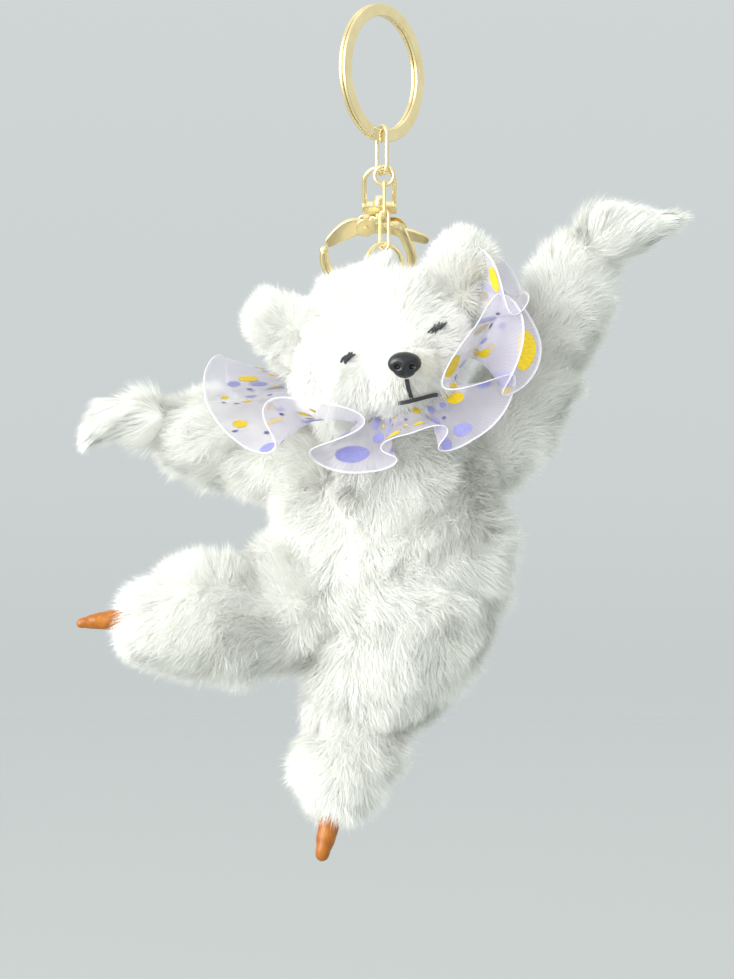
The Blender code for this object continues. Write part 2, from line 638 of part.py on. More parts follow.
def collar():
    """A flared band about the neck, with its gathering thread in the crease at the inner edge."""
    around, across = 36, 3
    bm = bmesh.new()
    sheet = []
    for k in range(around):
        angle = 2 * math.pi * k / around
        sheet.append([bm.verts.new(metres(collar_point(
            angle, COLLAR_INNER_R + (COLLAR_OUTER_R - COLLAR_INNER_R) * c / across, 0)))
            for c in range(across + 1)])
    for k in range(around):
        here, there = sheet[k], sheet[(k + 1) % around]
        for c in range(across):
            bm.faces.new((here[c], here[c + 1], there[c + 1], there[c]))
    mesh = bpy.data.meshes.new("collar")
    bm.to_mesh(mesh)
    bm.free()
    ribbon = add_object("collar_ribbon", mesh, material("ribbon_organza", RIBBON_LILAC, 0.6))
    thick = ribbon.modifiers.new("thickness", "SOLIDIFY")
    thick.thickness = COLLAR_THICK * MM
    thick.offset = 0
    thread = [collar_point(2 * math.pi * k / 40, COLLAR_INNER_R - 0.75, 0) for k in range(40)]
    add_object("collar_thread", curve_data(thread, 0.3, closed=True, resolution=0),
               material("collar_thread", RIBBON_LILAC, 0.8))


def toe(name, stations, skin):
    add_object(name, soft_form(stations, 0, 10), material(name + "_leather", TOE_ORANGE, 0.35))
    cut(skin, name + "_seat", soft_form(stations, -GAP, 10))


def paws():
    """Each paw is hollowed at its root to turn about the round end of its arm."""
    for name, stations, arm in (("paw_right", PAW_RIGHT, ARM_RIGHT), ("paw_left", PAW_LEFT, ARM_LEFT)):
        paw = add_object(name, soft_form(stations, 0, 10), fur(name))
        wrist = arm[-1]
        cut(paw, name + "_root", sphere_mesh((wrist[3] + SOCKET_GAP,) * 3), moved(wrist[:3]))


def build():
    key_ring()
    ring_link()
    head_hang = chain()
    frame = clasp_frame()
    bail(frame)
    post(frame)
    clasp_body(frame)
    clasp_gate(frame)
    ears(head(head_hang))
    face_stitches()
    collar()
    torso()
    limb("arm_right", ARM_RIGHT, "arm_wire_right", 3)
    limb("arm_left", ARM_LEFT, "arm_wire_left", 3)
    leg_right = limb("leg_right", LEG_RIGHT, "leg_wire_right", 3)
    leg_left = limb("leg_left", LEG_LEFT, "leg_wire_left", 3)
    paws()
    toe("toe_right", TOE_RIGHT, leg_right)
    toe("toe_left", TOE_LEFT, leg_left)


clear_scene()
PARTS = new_collection("plush_bear_keychain")
CUTTERS = new_collection("cutters")
build()
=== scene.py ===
"""Looks for the plush bear keychain: fur, ruffled ribbon, gold hardware, light and camera.

Shapes are worked out in millimetres in the row frame and turned into metres when meshes are made.
Left and right are the bear's own, so its left side is at +X.
"""
import math

import bmesh
import bpy
import numpy as np
from mathutils import Matrix, Vector, bvhtree, kdtree


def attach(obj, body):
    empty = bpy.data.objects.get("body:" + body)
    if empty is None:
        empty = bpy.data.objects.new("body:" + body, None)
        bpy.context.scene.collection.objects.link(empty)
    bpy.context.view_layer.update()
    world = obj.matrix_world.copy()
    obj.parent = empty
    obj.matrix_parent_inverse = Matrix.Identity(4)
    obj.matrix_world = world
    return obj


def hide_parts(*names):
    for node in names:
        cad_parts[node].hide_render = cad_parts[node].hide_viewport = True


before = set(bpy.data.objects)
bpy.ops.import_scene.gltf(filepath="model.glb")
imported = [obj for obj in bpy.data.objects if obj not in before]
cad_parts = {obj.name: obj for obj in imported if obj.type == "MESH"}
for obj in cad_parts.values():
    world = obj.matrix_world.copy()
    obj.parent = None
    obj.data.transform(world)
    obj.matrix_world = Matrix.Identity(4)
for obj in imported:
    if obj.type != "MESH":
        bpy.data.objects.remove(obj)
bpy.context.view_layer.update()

MM = 0.001

# ------------------------------------------------------------------ sizes, as in the solid model

RING_INNER_R, RING_OUTER_R, RING_STRIP = 12.3, 15.0, 0.85
RING_TURN = math.radians(-35.4)
RING_SPLIT_HALF = math.radians(8)
LINK_WIRE_R, LINK_BEND_R, LINK_TURN = 0.475, 2.125, math.radians(-59.6)
LINK_TOP, LINK_BOTTOM = (0, 0, -25.95), -34.22
CLASP_PIVOT, CLASP_LEAN = (-0.56, 0.96, -34.0), math.radians(30)
BAIL_WIRE_R, BAIL_BEND_R, BAIL_ARCH_TOP = 0.55, 3.3, 1.3
BAIL_BAR_Z, BAIL_BAR_H, BAIL_BAR_D = -8.2, 2.1, 2.4
POST_R = 0.8
GATE_PIVOT = (-2.9, 0, -12.5)
CHAIN_RING_R, CHAIN_RING_WIRE_R, CHAIN_TOP = 2.05, 0.45, (0.5, -0.84, -33.87)
CHAIN_WIRE_R, CHAIN_BEND_R = 0.38, 1.12
UPPER_LINK_BOTTOM, LOWER_LINK_BOTTOM, LOWER_LINK_TURN = -43.5, -50.7, math.radians(-35)
HEAD_RING_R, HEAD_RING_WIRE_R, HEAD_RING_TURN = 4.35, 0.55, math.radians(28)
GAP = 0.3

HEAD = np.array((0.65, -3.0, -70.3))
HEAD_R, HEAD_ROLL = 18.6, math.radians(-18.6)
MUZZLE, MUZZLE_R = HEAD + (3.0, -12.5, -4.6), 9.5
NOSE = np.array((4.6, -25.3, -76.4))
EAR_PLACE = (20.9, -2.0, 10.6)
COLLAR_BELOW, COLLAR_TILT = 5.0, math.radians(42.5)

TORSO = [(2, 2, -88, 12), (5, 5, -103, 22.5), (5, 5, -122, 24.3), (0.5, 4, -139, 18.5), (-1.5, 3, -145, 13)]
ARM_RIGHT = [(-15, 6, -98, 10.5), (-29, 10, -93, 11.6), (-38, 10, -91, 11), (-42, 9, -90.3, 8)]
ARM_LEFT = [(24, 8, -94, 10.3), (31, 11, -82, 10.6), (37.5, 12, -70, 10), (41.5, 11.5, -59, 10),
            (42.8, 11, -54, 8)]
LEG_RIGHT = [(-17, 2, -131, 12), (-29, 0, -130.6, 13.7), (-39, -2, -130.4, 13.8), (-46.5, -3, -132, 10.8)]
LEG_LEFT = [(-4, 3, -154.5, 11.3), (-7, 2.6, -160, 12), (-9.6, 2, -165.5, 9.8)]
PAW_RIGHT = [(-51.4, 7.5, -87.2, 4.6), (-56, 6.5, -86.6, 4.4), (-60.5, 5.5, -88.4, 3.3),
             (-63.2, 5, -91.2, 1.6)]
PAW_LEFT = [(48.4, 10.4, -47.8, 5.6), (53, 10, -46.6, 4.9), (59, 9.5, -45, 3.3), (64.6, 9, -42.6, 1.2)]
TOE_RIGHT = [(-57.3, -3.4, -131, 2.1), (-60, -3.6, -131.1, 2.0), (-65, -4, -131.7, 1.1)]
TOE_LEFT = [(-11.2, 1.6, -175.1, 2.2), (-12, 1.4, -178, 2.2), (-13.1, 1, -182.4, 1.4)]


# ------------------------------------------------------------------ small maths

def unit(v):
    v = np.asarray(v, float)
    return v / np.maximum(np.linalg.norm(v, axis=-1, keepdims=True), 1e-9)


def noise(p, scale, seed):
    """Smooth noise vectors, about -1 to 1, that change over scale millimetres."""
    parts = 5
    rng = np.random.default_rng(seed)
    out = np.zeros((len(p), 3))
    for _ in range(parts):
        k = rng.normal(size=(3, 3)) / scale * 2.2
        out += np.sin(p @ k.T + rng.uniform(0, 2 * math.pi, 3))
    return out / math.sqrt(parts / 2)


def catmull_rom(a, b, c, d, t):
    return 0.5 * (2 * b + (c - a) * t + (2 * a - 5 * b + 4 * c - d) * t * t
                  + (3 * b - a - 3 * c + d) * t ** 3)


def smooth_path(stations, steps):
    """Stations joined by a smooth curve, with steps points between each pair."""
    s = np.array([stations[0], *stations, stations[-1]], float)
    t = np.arange(steps)[:, None] / steps
    rows = []
    for i in range(len(stations) - 1):
        a, b, c, d = s[i:i + 4]
        rows.append(catmull_rom(a, b, c, d, t))
    return np.vstack(rows + [s[-1:]])


HEAD_TURN = Matrix.Rotation(HEAD_ROLL, 3, "Y")
HEAD_X, HEAD_Y, HEAD_Z = [np.array(HEAD_TURN @ Vector(v)) for v in ((1, 0, 0), (0, 1, 0), (0, 0, 1))]


# ------------------------------------------------------------------ meshes

def placed(name, data):
    obj = bpy.data.objects.new(name, data)
    bpy.context.scene.collection.objects.link(obj)
    return obj


def from_bmesh(name, bm):
    me = bpy.data.meshes.new(name)
    bm.to_mesh(me)
    bm.free()
    return placed(name, me)


def replace_node(obj, node, body):
    """obj rides on body and takes a CAD node's place and finish."""
    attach(obj, body)
    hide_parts(node)
    return obj


def mesh_object(name, verts, polys, mats, slots=None):
    """A mesh object from points in millimetres and lists of faces with 3 or 4 corners."""
    me = bpy.data.meshes.new(name)
    me.vertices.add(len(verts))
    me.vertices.foreach_set("co", (np.asarray(verts) * MM).astype(np.float32).ravel())
    loops = np.concatenate([np.asarray(p, np.int32).ravel() for p in polys])
    sizes = np.concatenate([np.full(len(p), np.asarray(p).shape[1]) for p in polys])
    me.loops.add(len(loops))
    me.loops.foreach_set("vertex_index", loops)
    me.polygons.add(len(sizes))
    me.polygons.foreach_set("loop_start", (np.cumsum(sizes) - sizes).astype(np.int32))
    if slots is not None:
        me.polygons.foreach_set("material_index", np.asarray(slots, np.int32))
    me.polygons.foreach_set("use_smooth", np.full(len(sizes), True))
    me.update(calc_edges=True)
    me.validate()
    for m in mats:
        me.materials.append(m)
    return placed(name, me)


def frames_along(path, closed, up=None):
    """Unit tangents and two directions across them."""
    if closed:
        t = unit(np.roll(path, -1, 0) - np.roll(path, 1, 0))
    else:
        t = unit(np.gradient(path, axis=0))
    if up is not None:
        side = unit(np.cross(t, up))
        return t, side, np.cross(side, t)
    side = np.empty_like(t)
    s = np.cross(t[0], (0, 0, 1.0) if abs(t[0][2]) < 0.9 else (1.0, 0, 0))
    for i, d in enumerate(t):
        s = unit(s - d * (s @ d))
        side[i] = s
    if closed:
        first = side[0] - t[0] * (side[0] @ t[0])
        last = unit(side[-1] - t[0] * (side[-1] @ t[0]))
        turn = math.atan2(np.cross(last, first) @ t[0], last @ first)
        a = turn * np.arange(len(t))[:, None] / len(t)
        side = side * np.cos(a) + np.cross(t, side) * np.sin(a)
    return t, side, np.cross(side, t)


def round_section(n):
    a = np.arange(n) * 2 * math.pi / n
    return np.stack([np.cos(a), np.sin(a)], 1)


def tube_faces(n, k, closed):
    """Faces between n rings of k points, and an open tube's two ends, whose middles come after the rings."""
    i, j = np.meshgrid(np.arange(n if closed else n - 1), np.arange(k), indexing="ij")
    near, far, across = i * k, ((i + 1) % n) * k, (j + 1) % k
    quads = np.stack([near + j, near + across, far + across, far + j], -1).reshape(-1, 4)
    if closed:
        return [quads]
    r, last = np.arange(k), (n - 1) * k
    return [quads, np.stack([(r + 1) % k, r, np.full(k, n * k)], 1),
            np.stack([last + r, last + (r + 1) % k, np.full(k, n * k + 1)], 1)]


def swept(path, section, size, closed=False, up=None):
    """A tube's points and faces: section swept along path, scaled by one size or a size for each point."""
    path = np.asarray(path, float)
    n, k = len(path), len(section)
    size = np.broadcast_to(size, (n, 2))
    _, side, top = frames_along(path, closed, up)
    verts = (path[:, None] + section[None, :, :1] * side[:, None] * size[:, None, :1]
             + section[None, :, 1:] * top[:, None] * size[:, None, 1:]).reshape(-1, 3)
    polys = tube_faces(n, k, closed)
    if not closed:
        verts = np.vstack([verts, path[:1], path[-1:]])
    return verts, polys


def tube(name, path, radius, mats, sides=14):
    """A round wire whose ends meet."""
    verts, polys = swept(path, round_section(sides), radius, closed=True)
    return mesh_object(name, verts, polys, mats)


def evaluated(obj):
    """The object's mesh with its modifiers, as a new mesh; the object is removed."""
    dg = bpy.context.evaluated_depsgraph_get()
    me = bpy.data.meshes.new_from_object(obj.evaluated_get(dg))
    bpy.data.objects.remove(obj)
    return me


def clay(name, balls, voxel, rounds, mats):
    """One smooth closed form round a set of balls: (centre, radii or radius, optional rotation)."""
    bm = bmesh.new()
    for ball in balls:
        centre, radii = ball[0], np.broadcast_to(ball[1], 3)
        turn = ball[2].to_4x4() if len(ball) > 2 else Matrix.Identity(4)
        place = Matrix.Translation(Vector(centre) * MM) @ turn @ Matrix.Diagonal((*(radii * MM), 1))
        bmesh.ops.create_icosphere(bm, subdivisions=3, radius=1, matrix=place)
    return remeshed(from_bmesh(name, bm), name, voxel, rounds, mats)


def remeshed(obj, name, voxel, rounds, mats):
    mod = obj.modifiers.new("remesh", "REMESH")
    mod.mode = "VOXEL"
    mod.voxel_size = voxel * MM
    mod = obj.modifiers.new("smooth", "SMOOTH")
    mod.iterations = rounds
    mod.factor = 0.5
    me = evaluated(obj)
    me.name = name
    me.materials.clear()
    for m in mats:
        me.materials.append(m)
    me.polygons.foreach_set("use_smooth", np.full(len(me.polygons), True))
    return placed(name, me)


def balls_along(stations, inset):
    return [(p[:3], max(p[3] - inset, 0.4)) for p in smooth_path(stations, 5)]


def points_of(me):
    co = np.empty(len(me.vertices) * 3)
    me.vertices.foreach_get("co", co)
    return co.reshape(-1, 3) / MM


def triangles(obj):
    """Corner points, corner normals and areas of an object's triangles, in millimetres."""
    me = obj.data
    me.calc_loop_triangles()
    co = np.empty(len(me.vertices) * 3, np.float32)
    me.vertices.foreach_get("co", co)
    no = np.empty(len(me.vertices) * 3, np.float32)
    me.vertices.foreach_get("normal", no)
    tri = np.empty(len(me.loop_triangles) * 3, np.int32)
    me.loop_triangles.foreach_get("vertices", tri)
    co, no, tri = co.reshape(-1, 3) / MM, no.reshape(-1, 3), tri.reshape(-1, 3)
    p = co[tri]
    area = np.linalg.norm(np.cross(p[:, 1] - p[:, 0], p[:, 2] - p[:, 0]), axis=1) / 2
    return p, no[tri], area


def roots_on(obj, per_mm2, rng):
    """Random points and smooth normals, evenly spread over a surface."""
    p, n, area = triangles(obj)
    count = int(area.sum() * per_mm2)
    pick = rng.choice(len(p), count, p=area / area.sum())
    u, v = rng.random(count), rng.random(count)
    over = u + v > 1
    u[over], v[over] = 1 - u[over], 1 - v[over]
    w = np.stack([1 - u - v, u, v], 1)[:, :, None]
    return (p[pick] * w).sum(1), unit((n[pick] * w).sum(1))


# ------------------------------------------------------------------ materials

def node_material(name, colour, roughness, metallic=0.0, **sockets):
    mat = bpy.data.materials.new(name)
    mat.use_nodes = True
    shader = mat.node_tree.nodes["Principled BSDF"]
    shader.inputs["Base Color"].default_value = (*colour, 1)
    shader.inputs["Roughness"].default_value = roughness
    shader.inputs["Metallic"].default_value = metallic
    for key, value in sockets.items():
        shader.inputs[key.replace("_", " ")].default_value = value
    return mat, mat.node_tree, shader


def object_noise(nt, scale, detail=3.0, rough=0.55, stretch=None):
    """A noise texture fixed to the object, with scale in features per metre."""
    coords = nt.nodes.new("ShaderNodeTexCoord")
    source = coords.outputs["Object"]
    if stretch is not None:
        mapping = nt.nodes.new("ShaderNodeMapping")
        mapping.inputs["Scale"].default_value = stretch
        nt.links.new(source, mapping.inputs["Vector"])
        source = mapping.outputs["Vector"]
    tex = nt.nodes.new("ShaderNodeTexNoise")
    tex.inputs["Scale"].default_value = scale
    tex.inputs["Detail"].default_value = detail
    tex.inputs["Roughness"].default_value = rough
    nt.links.new(source, tex.inputs["Vector"])
    return tex.outputs["Fac"]


def ramp(nt, fac, stops):
    node = nt.nodes.new("ShaderNodeValToRGB")
    elements = node.color_ramp.elements
    while len(elements) < len(stops):
        elements.new(0.5)
    for element, (at, colour) in zip(elements, stops):
        element.position = at
        element.color = (*colour, 1)
    nt.links.new(fac, node.inputs["Fac"])
    return node.outputs["Color"]


def numbers(nt, fac, low, high):
    """Maps the middle of a noise to a range of values."""
    node = nt.nodes.new("ShaderNodeMapRange")
    node.inputs["From Min"].default_value = 0.3
    node.inputs["From Max"].default_value = 0.7
    node.inputs["To Min"].default_value = low
    node.inputs["To Max"].default_value = high
    nt.links.new(fac, node.inputs["Value"])
    return node.outputs["Result"]


def tint(nt, shader, fac, stops):
    nt.links.new(ramp(nt, fac, stops), shader.inputs["Base Color"])


def gloss(nt, shader, fac, low, high):
    nt.links.new(numbers(nt, fac, low, high), shader.inputs["Roughness"])


def bump(nt, shader, height, strength, distance):
    node = nt.nodes.new("ShaderNodeBump")
    node.inputs["Strength"].default_value = strength
    node.inputs["Distance"].default_value = distance * MM
    nt.links.new(height, node.inputs["Height"])
    nt.links.new(node.outputs["Normal"], shader.inputs["Normal"])


def gold_material(name):
    """Pale gold plate: faint tone drift, fine polishing scratches and soft dimples."""
    colour, roughness = (0.96, 0.83, 0.50), 0.16
    mat, nt, shader = node_material(name, colour, roughness, 1.0)
    tone = object_noise(nt, 260, 4)
    darker = tuple(c * s for c, s in zip(colour, (0.93, 0.88, 0.78)))
    tint(nt, shader, tone, [(0.32, darker), (0.68, colour)])
    scratch = object_noise(nt, 900, 6, 0.7, (1, 1, 0.12))
    gloss(nt, shader, scratch, roughness * 0.6, roughness * 1.7)
    bump(nt, shader, object_noise(nt, 420, 2), 0.25, 0.05)
    return mat


def steel_material(name):
    mat, nt, shader = node_material(name, (0.56, 0.57, 0.59), 0.35, 1.0)
    grain = object_noise(nt, 1500, 5, 0.6, (1, 1, 0.1))
    gloss(nt, shader, grain, 0.25, 0.5)
    return mat


def pelt_material(name):
    """Knitted backing and dense under-fur, a little darker and warmer than the pile."""
    mat, nt, shader = node_material(name, (0.8, 0.81, 0.76), 0.95, 0.0, Sheen_Weight=0.3)
    tone = object_noise(nt, 240, 5, 0.65)
    tint(nt, shader, tone, [(0.3, (0.94, 0.945, 0.90)), (0.7, (0.985, 0.988, 0.96))])
    bump(nt, shader, object_noise(nt, 1400, 4, 0.7), 0.8, 0.3)
    return mat


def fibre_material(name):
    mat, nt, shader = node_material(name, (0.93, 0.93, 0.92), 1.0)
    tones = [(0.35, (0.85, 0.85, 0.84)), (0.65, (0.96, 0.96, 0.95))]
    tint(nt, shader, object_noise(nt, 500, 6, 0.7), tones)
    bump(nt, shader, object_noise(nt, 900, 6, 0.75), 0.7, 0.4)
    return mat


def thread_material(name, colour):
    mat, nt, shader = node_material(name, colour, 0.6, 0.0, Sheen_Weight=0.25)
    coords = nt.nodes.new("ShaderNodeTexCoord")
    wave = nt.nodes.new("ShaderNodeTexWave")
    wave.bands_direction = "DIAGONAL"
    wave.inputs["Scale"].default_value = 1600
    wave.inputs["Distortion"].default_value = 1.5
    nt.links.new(coords.outputs["Object"], wave.inputs["Vector"])
    lighter = tuple(min(1, c * 1.6 + 0.02) for c in colour)
    tint(nt, shader, wave.outputs["Fac"], [(0.2, colour), (0.9, lighter)])
    bump(nt, shader, wave.outputs["Fac"], 0.5, 0.05)
    return mat


def nose_material():
    """Moulded gloss black with a soft pebbled skin."""
    mat, nt, shader = node_material("nose_gloss", (0.012, 0.013, 0.015), 0.16, 0.0, Coat_Weight=0.3,
                                    Coat_Roughness=0.08)
    gloss(nt, shader, object_noise(nt, 700, 4), 0.12, 0.32)
    tones = [(0.35, (0.003, 0.0035, 0.0045)), (0.7, (0.012, 0.014, 0.017))]
    tint(nt, shader, object_noise(nt, 350, 3), tones)
    bump(nt, shader, object_noise(nt, 1500, 3), 0.12, 0.05)
    return mat


def toe_material():
    """Glossy orange-tan in tones that vary at random, with a leathery grain."""
    mat, nt, shader = node_material("toe_gloss", (0.62, 0.22, 0.04), 0.3, 0.0, Coat_Weight=0.12,
                                    Coat_Roughness=0.15)
    tone = object_noise(nt, 320, 5, 0.6)
    tones = [(0.3, (0.30, 0.085, 0.004)), (0.55, (0.45, 0.14, 0.006)), (0.8, (0.56, 0.20, 0.014))]
    tint(nt, shader, tone, tones)
    gloss(nt, shader, object_noise(nt, 800, 4), 0.22, 0.42)
    bump(nt, shader, object_noise(nt, 700, 5, 0.6), 0.35, 0.12)
    return mat


def ribbon_material(name, colour, alpha):
    """Sheer organza: fine crossing threads that catch the light, seen through between them."""
    mat, nt, shader = node_material(name, colour, 0.42, 0.0, Alpha=alpha, Sheen_Weight=0.4)
    shader.inputs["Sheen Roughness"].default_value = 0.3
    uv = nt.nodes.new("ShaderNodeUVMap")
    uv.uv_map = "flat"
    waves = []
    for direction in ("X", "Y"):
        wave = nt.nodes.new("ShaderNodeTexWave")
        wave.bands_direction = direction
        wave.inputs["Scale"].default_value = 0.75
        wave.inputs["Distortion"].default_value = 0.6
        wave.inputs["Detail"].default_value = 1.0
        nt.links.new(uv.outputs["UV"], wave.inputs["Vector"])
        waves.append(wave.outputs["Fac"])
    both = nt.nodes.new("ShaderNodeMath")
    both.operation = "MAXIMUM"
    nt.links.new(waves[0], both.inputs[0])
    nt.links.new(waves[1], both.inputs[1])
    darker = tuple(c * 0.86 for c in colour)
    tint(nt, shader, both.outputs[0], [(0.2, darker), (0.9, colour)])
    bump(nt, shader, both.outputs[0], 0.3, 0.05)
    return mat


def print_material(name, colour):
    mat, nt, shader = node_material(name, colour, 0.5)
    darker = tuple(c * 0.8 for c in colour)
    tone = object_noise(nt, 1800, 3)
    tint(nt, shader, tone, [(0.35, darker), (0.65, colour)])
    bump(nt, shader, object_noise(nt, 3000, 2), 0.3, 0.03)
    return mat


FUR_SHADES = [(0.985, 0.988, 0.945), (0.975, 0.978, 0.925), (0.955, 0.96, 0.895), (0.992, 0.992, 0.97),
              (0.985, 0.988, 0.945)]
FUR = [node_material(f"fur_shade_{i}", c, 0.75, 0.0, Sheen_Weight=0.35)[0] for i, c in enumerate(FUR_SHADES)]
SHADE_SHARES, ROOT_SHADE = (0.45, 0.3, 0.15, 0.1), 4
PELT = pelt_material("fur_backing")
FILL = fibre_material("polyester_fill")
GOLD = gold_material("gold_plate")
STEEL = steel_material("steel_wire")
BLACK_THREAD = thread_material("black_thread", (0.015, 0.016, 0.02))


# ------------------------------------------------------------------ fur

def strands(name, body, roots, normals, comb, length, width=0.098, lean=(44, 69), curl=0.08, clump=0.07,
            clump_size=1.4, seed=1, spread=0.34):
    """Fur as thin tapered ribbons. comb is the way the pile lies, lean its angle from the surface normal at
    root and tip, and clump how far tips are drawn together over about clump_size millimetres."""
    rng = np.random.default_rng(seed)
    n, steps = len(roots), 3
    length = np.broadcast_to(length, n) * rng.uniform(0.78, 1.12, n)
    comb = unit(comb - normals * (comb * normals).sum(1, keepdims=True))
    wander = noise(roots, 5.0, seed + 11) * 0.35 + rng.normal(size=(n, 3)) * spread
    comb = unit(comb + wander)
    a0, a1 = np.radians(lean[0]), np.radians(lean[1])
    bend = noise(roots, 2.2, seed + 23) * curl
    path = [roots]
    jitter = rng.normal(0, 0.10, n)
    for i in range(steps):
        a = (a0 + (a1 - a0) * (i + 0.5) / steps + jitter)[:, None]
        way = unit(normals * np.cos(a) + comb * np.sin(a) + bend * (i + 0.5))
        path.append(path[-1] + way * (length / steps)[:, None])
    path = np.stack(path, 1)
    guides = max(1, int(n / (clump_size ** 2 * DENSITY)))
    tree = kdtree.KDTree(guides)
    for i in range(guides):
        tree.insert(roots[i], i)
    tree.balance()
    near = np.array([tree.find(r)[1] for r in roots])
    share = clump * np.array([0, 0.25, 0.6, 1.0])[None, :, None] * rng.uniform(0.5, 1.3, n)[:, None, None]
    path += (path[near] - path) * share
    d = unit(path[:, 2] - path[:, 0])
    across = unit(np.cross(d, normals))
    other = np.cross(across, d)
    other *= np.sign((other * normals).sum(1, keepdims=True) + 1e-9)
    phi = rng.uniform(-0.42, 0.42, n)[:, None]
    side = across * np.cos(phi) + other * np.sin(phi)
    half = (width * rng.uniform(0.7, 1.25, n) / 2)[:, None, None] * side[:, None]
    taper = np.array([1.0, 0.85, 0.5])[None, :, None]
    left, right = path[:, :3] - half * taper, path[:, :3] + half * taper
    verts = np.concatenate([left, right, path[:, 3:]], 1).reshape(-1, 3)
    base = np.arange(n)[:, None] * 7
    quads = np.concatenate([base + np.array([0, 3, 4, 1]), base + np.array([1, 4, 5, 2])], 0)
    tips = base + np.array([2, 5, 6])
    tone = noise(roots, 7.0, seed + 31)[:, 0] * 0.12 + rng.random(n)
    bins = np.cumsum(SHADE_SHARES)
    shade = np.searchsorted(bins, np.clip(tone, 0, bins[-1] - 1e-6))
    slots = np.concatenate([np.full(n, ROOT_SHADE), shade, shade])
    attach(mesh_object(name, verts, [quads, tips], FUR, slots), body)


DENSITY = 21.0  # strands per square millimetre
PER_PIECE = 38000  # strands in one piece at most


def coat(name, body, pelt, comb, length, seed, density=DENSITY, keep=None, **options):
    """Covers a pelt with strands, in several pieces where there are many."""
    rng = np.random.default_rng(seed)
    roots, normals = roots_on(pelt, density, rng)
    if keep is not None:
        kept = keep(roots, normals, rng)
        roots, normals = roots[kept], normals[kept]
    chunks = max(1, math.ceil(len(roots) / PER_PIECE))
    order = np.argsort(roots[:, 2], kind="stable")
    for i, part in enumerate(np.array_split(order, chunks)):
        part = rng.permutation(part)
        r, n = roots[part], normals[part]
        strands(name if chunks == 1 else f"{name}_{i + 1}", body, r, n, comb(r, n), length(r, n),
                seed=seed * 10 + i, **options)


def pelt_of(name, body, balls, node, voxel=0.9, rounds=6):
    obj = clay(name, balls, voxel, rounds, [PELT])
    return replace_node(obj, node, body)


def fill_of(name, body, balls, node):
    obj = clay(name, balls, 1.6, 4, [FILL])
    replace_node(obj, node, body)


def torso_fur():
    inset = 3.7
    haunch = [((-7, 4, -111), 14.5), ((-4, 4, -122), 17.0)]
    pelt = pelt_of("torso_pelt", "torso", balls_along(TORSO, inset) + haunch, "torso_skin")
    fill_of("torso_fill", "torso", balls_along(TORSO, inset + 1.5), "torso_stuffing")

    def comb(p, n):
        away = p - np.array((4, 5, -60.0))
        return unit(away) * 0.5 + np.array((0, 0, -1.0)) + noise(p, 14, 5) * 0.55
    coat("torso_fur", "torso", pelt, comb, lambda p, n: 6.0 + noise(p, 9, 6)[:, 0] * 0.7, seed=3)


def way_along(stations):
    """A limb's middle line, and a function for its direction nearest to each point."""
    path = smooth_path(stations, 8)[:, :3]
    tangents = unit(np.gradient(path, axis=0))
    return path, lambda p: tangents[((p[:, None] - path[None]) ** 2).sum(2).argmin(1)]


def limb_fur(name, stations, inset, length, seed, balls=()):
    pelt = pelt_of(name + "_pelt", name, balls_along(stations, inset) + list(balls), name + "_skin")
    fill_of(name + "_fill", name, balls_along(stations, inset + 1.5), name + "_stuffing")
    _, way = way_along(stations)

    def comb(p, n):
        return way(p) + (0, 0, -0.35) * (1 - np.abs(n[:, 2:])) + noise(p, 9, seed + 5) * 0.28
    coat(name + "_fur", name, pelt, comb, lambda p, n: length + noise(p, 8, seed)[:, 0] * 0.6, seed=seed)


def paw_fur(name, stations, seed):
    """A bare paw's form under long smooth hair, all combed to its tip."""
    pelt = pelt_of(name + "_pelt", name, balls_along(stations, 0.5), name, voxel=0.6)
    path, way = way_along(stations)
    start, end = path[0], path[-1]
    reach = np.linalg.norm(end - start)

    def comb(p, n):
        return way(p) + noise(p, 6, seed + 5) * 0.08

    def length(p, n):
        along = np.clip((p - start) @ unit(end - start) / reach, 0, 1)
        return 7.5 - 2.5 * along
    coat(name + "_fur", name, pelt, comb, length, seed=seed, density=17, lean=(64, 85), curl=0.04, clump=0.2,
         clump_size=1.8, width=0.12, spread=0.07)


def face_length(p, n):
    """Short pile round the nose and eyes, growing to full length at the back and crown."""
    from_nose = np.linalg.norm(p - NOSE, axis=1)
    back = np.clip((p[:, 1] - HEAD[1] + 4) / 12, 0, 1)
    return 1.5 + np.clip((from_nose - 4) / 26, 0, 1) ** 1.1 * 5.0 + back * 1.2


EYES = [((-7.3, -75.2), 0.1, 0.8), ((11.2, -68.9), 0.3, 1.2)]   # place, slope and half width


def front_of(obj):
    """A function that finds the point this far over an object's front, at x and z."""
    me = obj.data
    tree = bvhtree.BVHTree.FromPolygons([v.co / MM for v in me.vertices],
                                        [list(f.vertices) for f in me.polygons])

    def on_face(x, z, over):
        at, normal, _, _ = tree.ray_cast(Vector((x, -60, z)), Vector((0, 1, 0)))
        if at is None:
            at, normal, _, _ = tree.find_nearest(Vector((x, MUZZLE[1], z)))
        return np.array(at + normal * over)
    return on_face


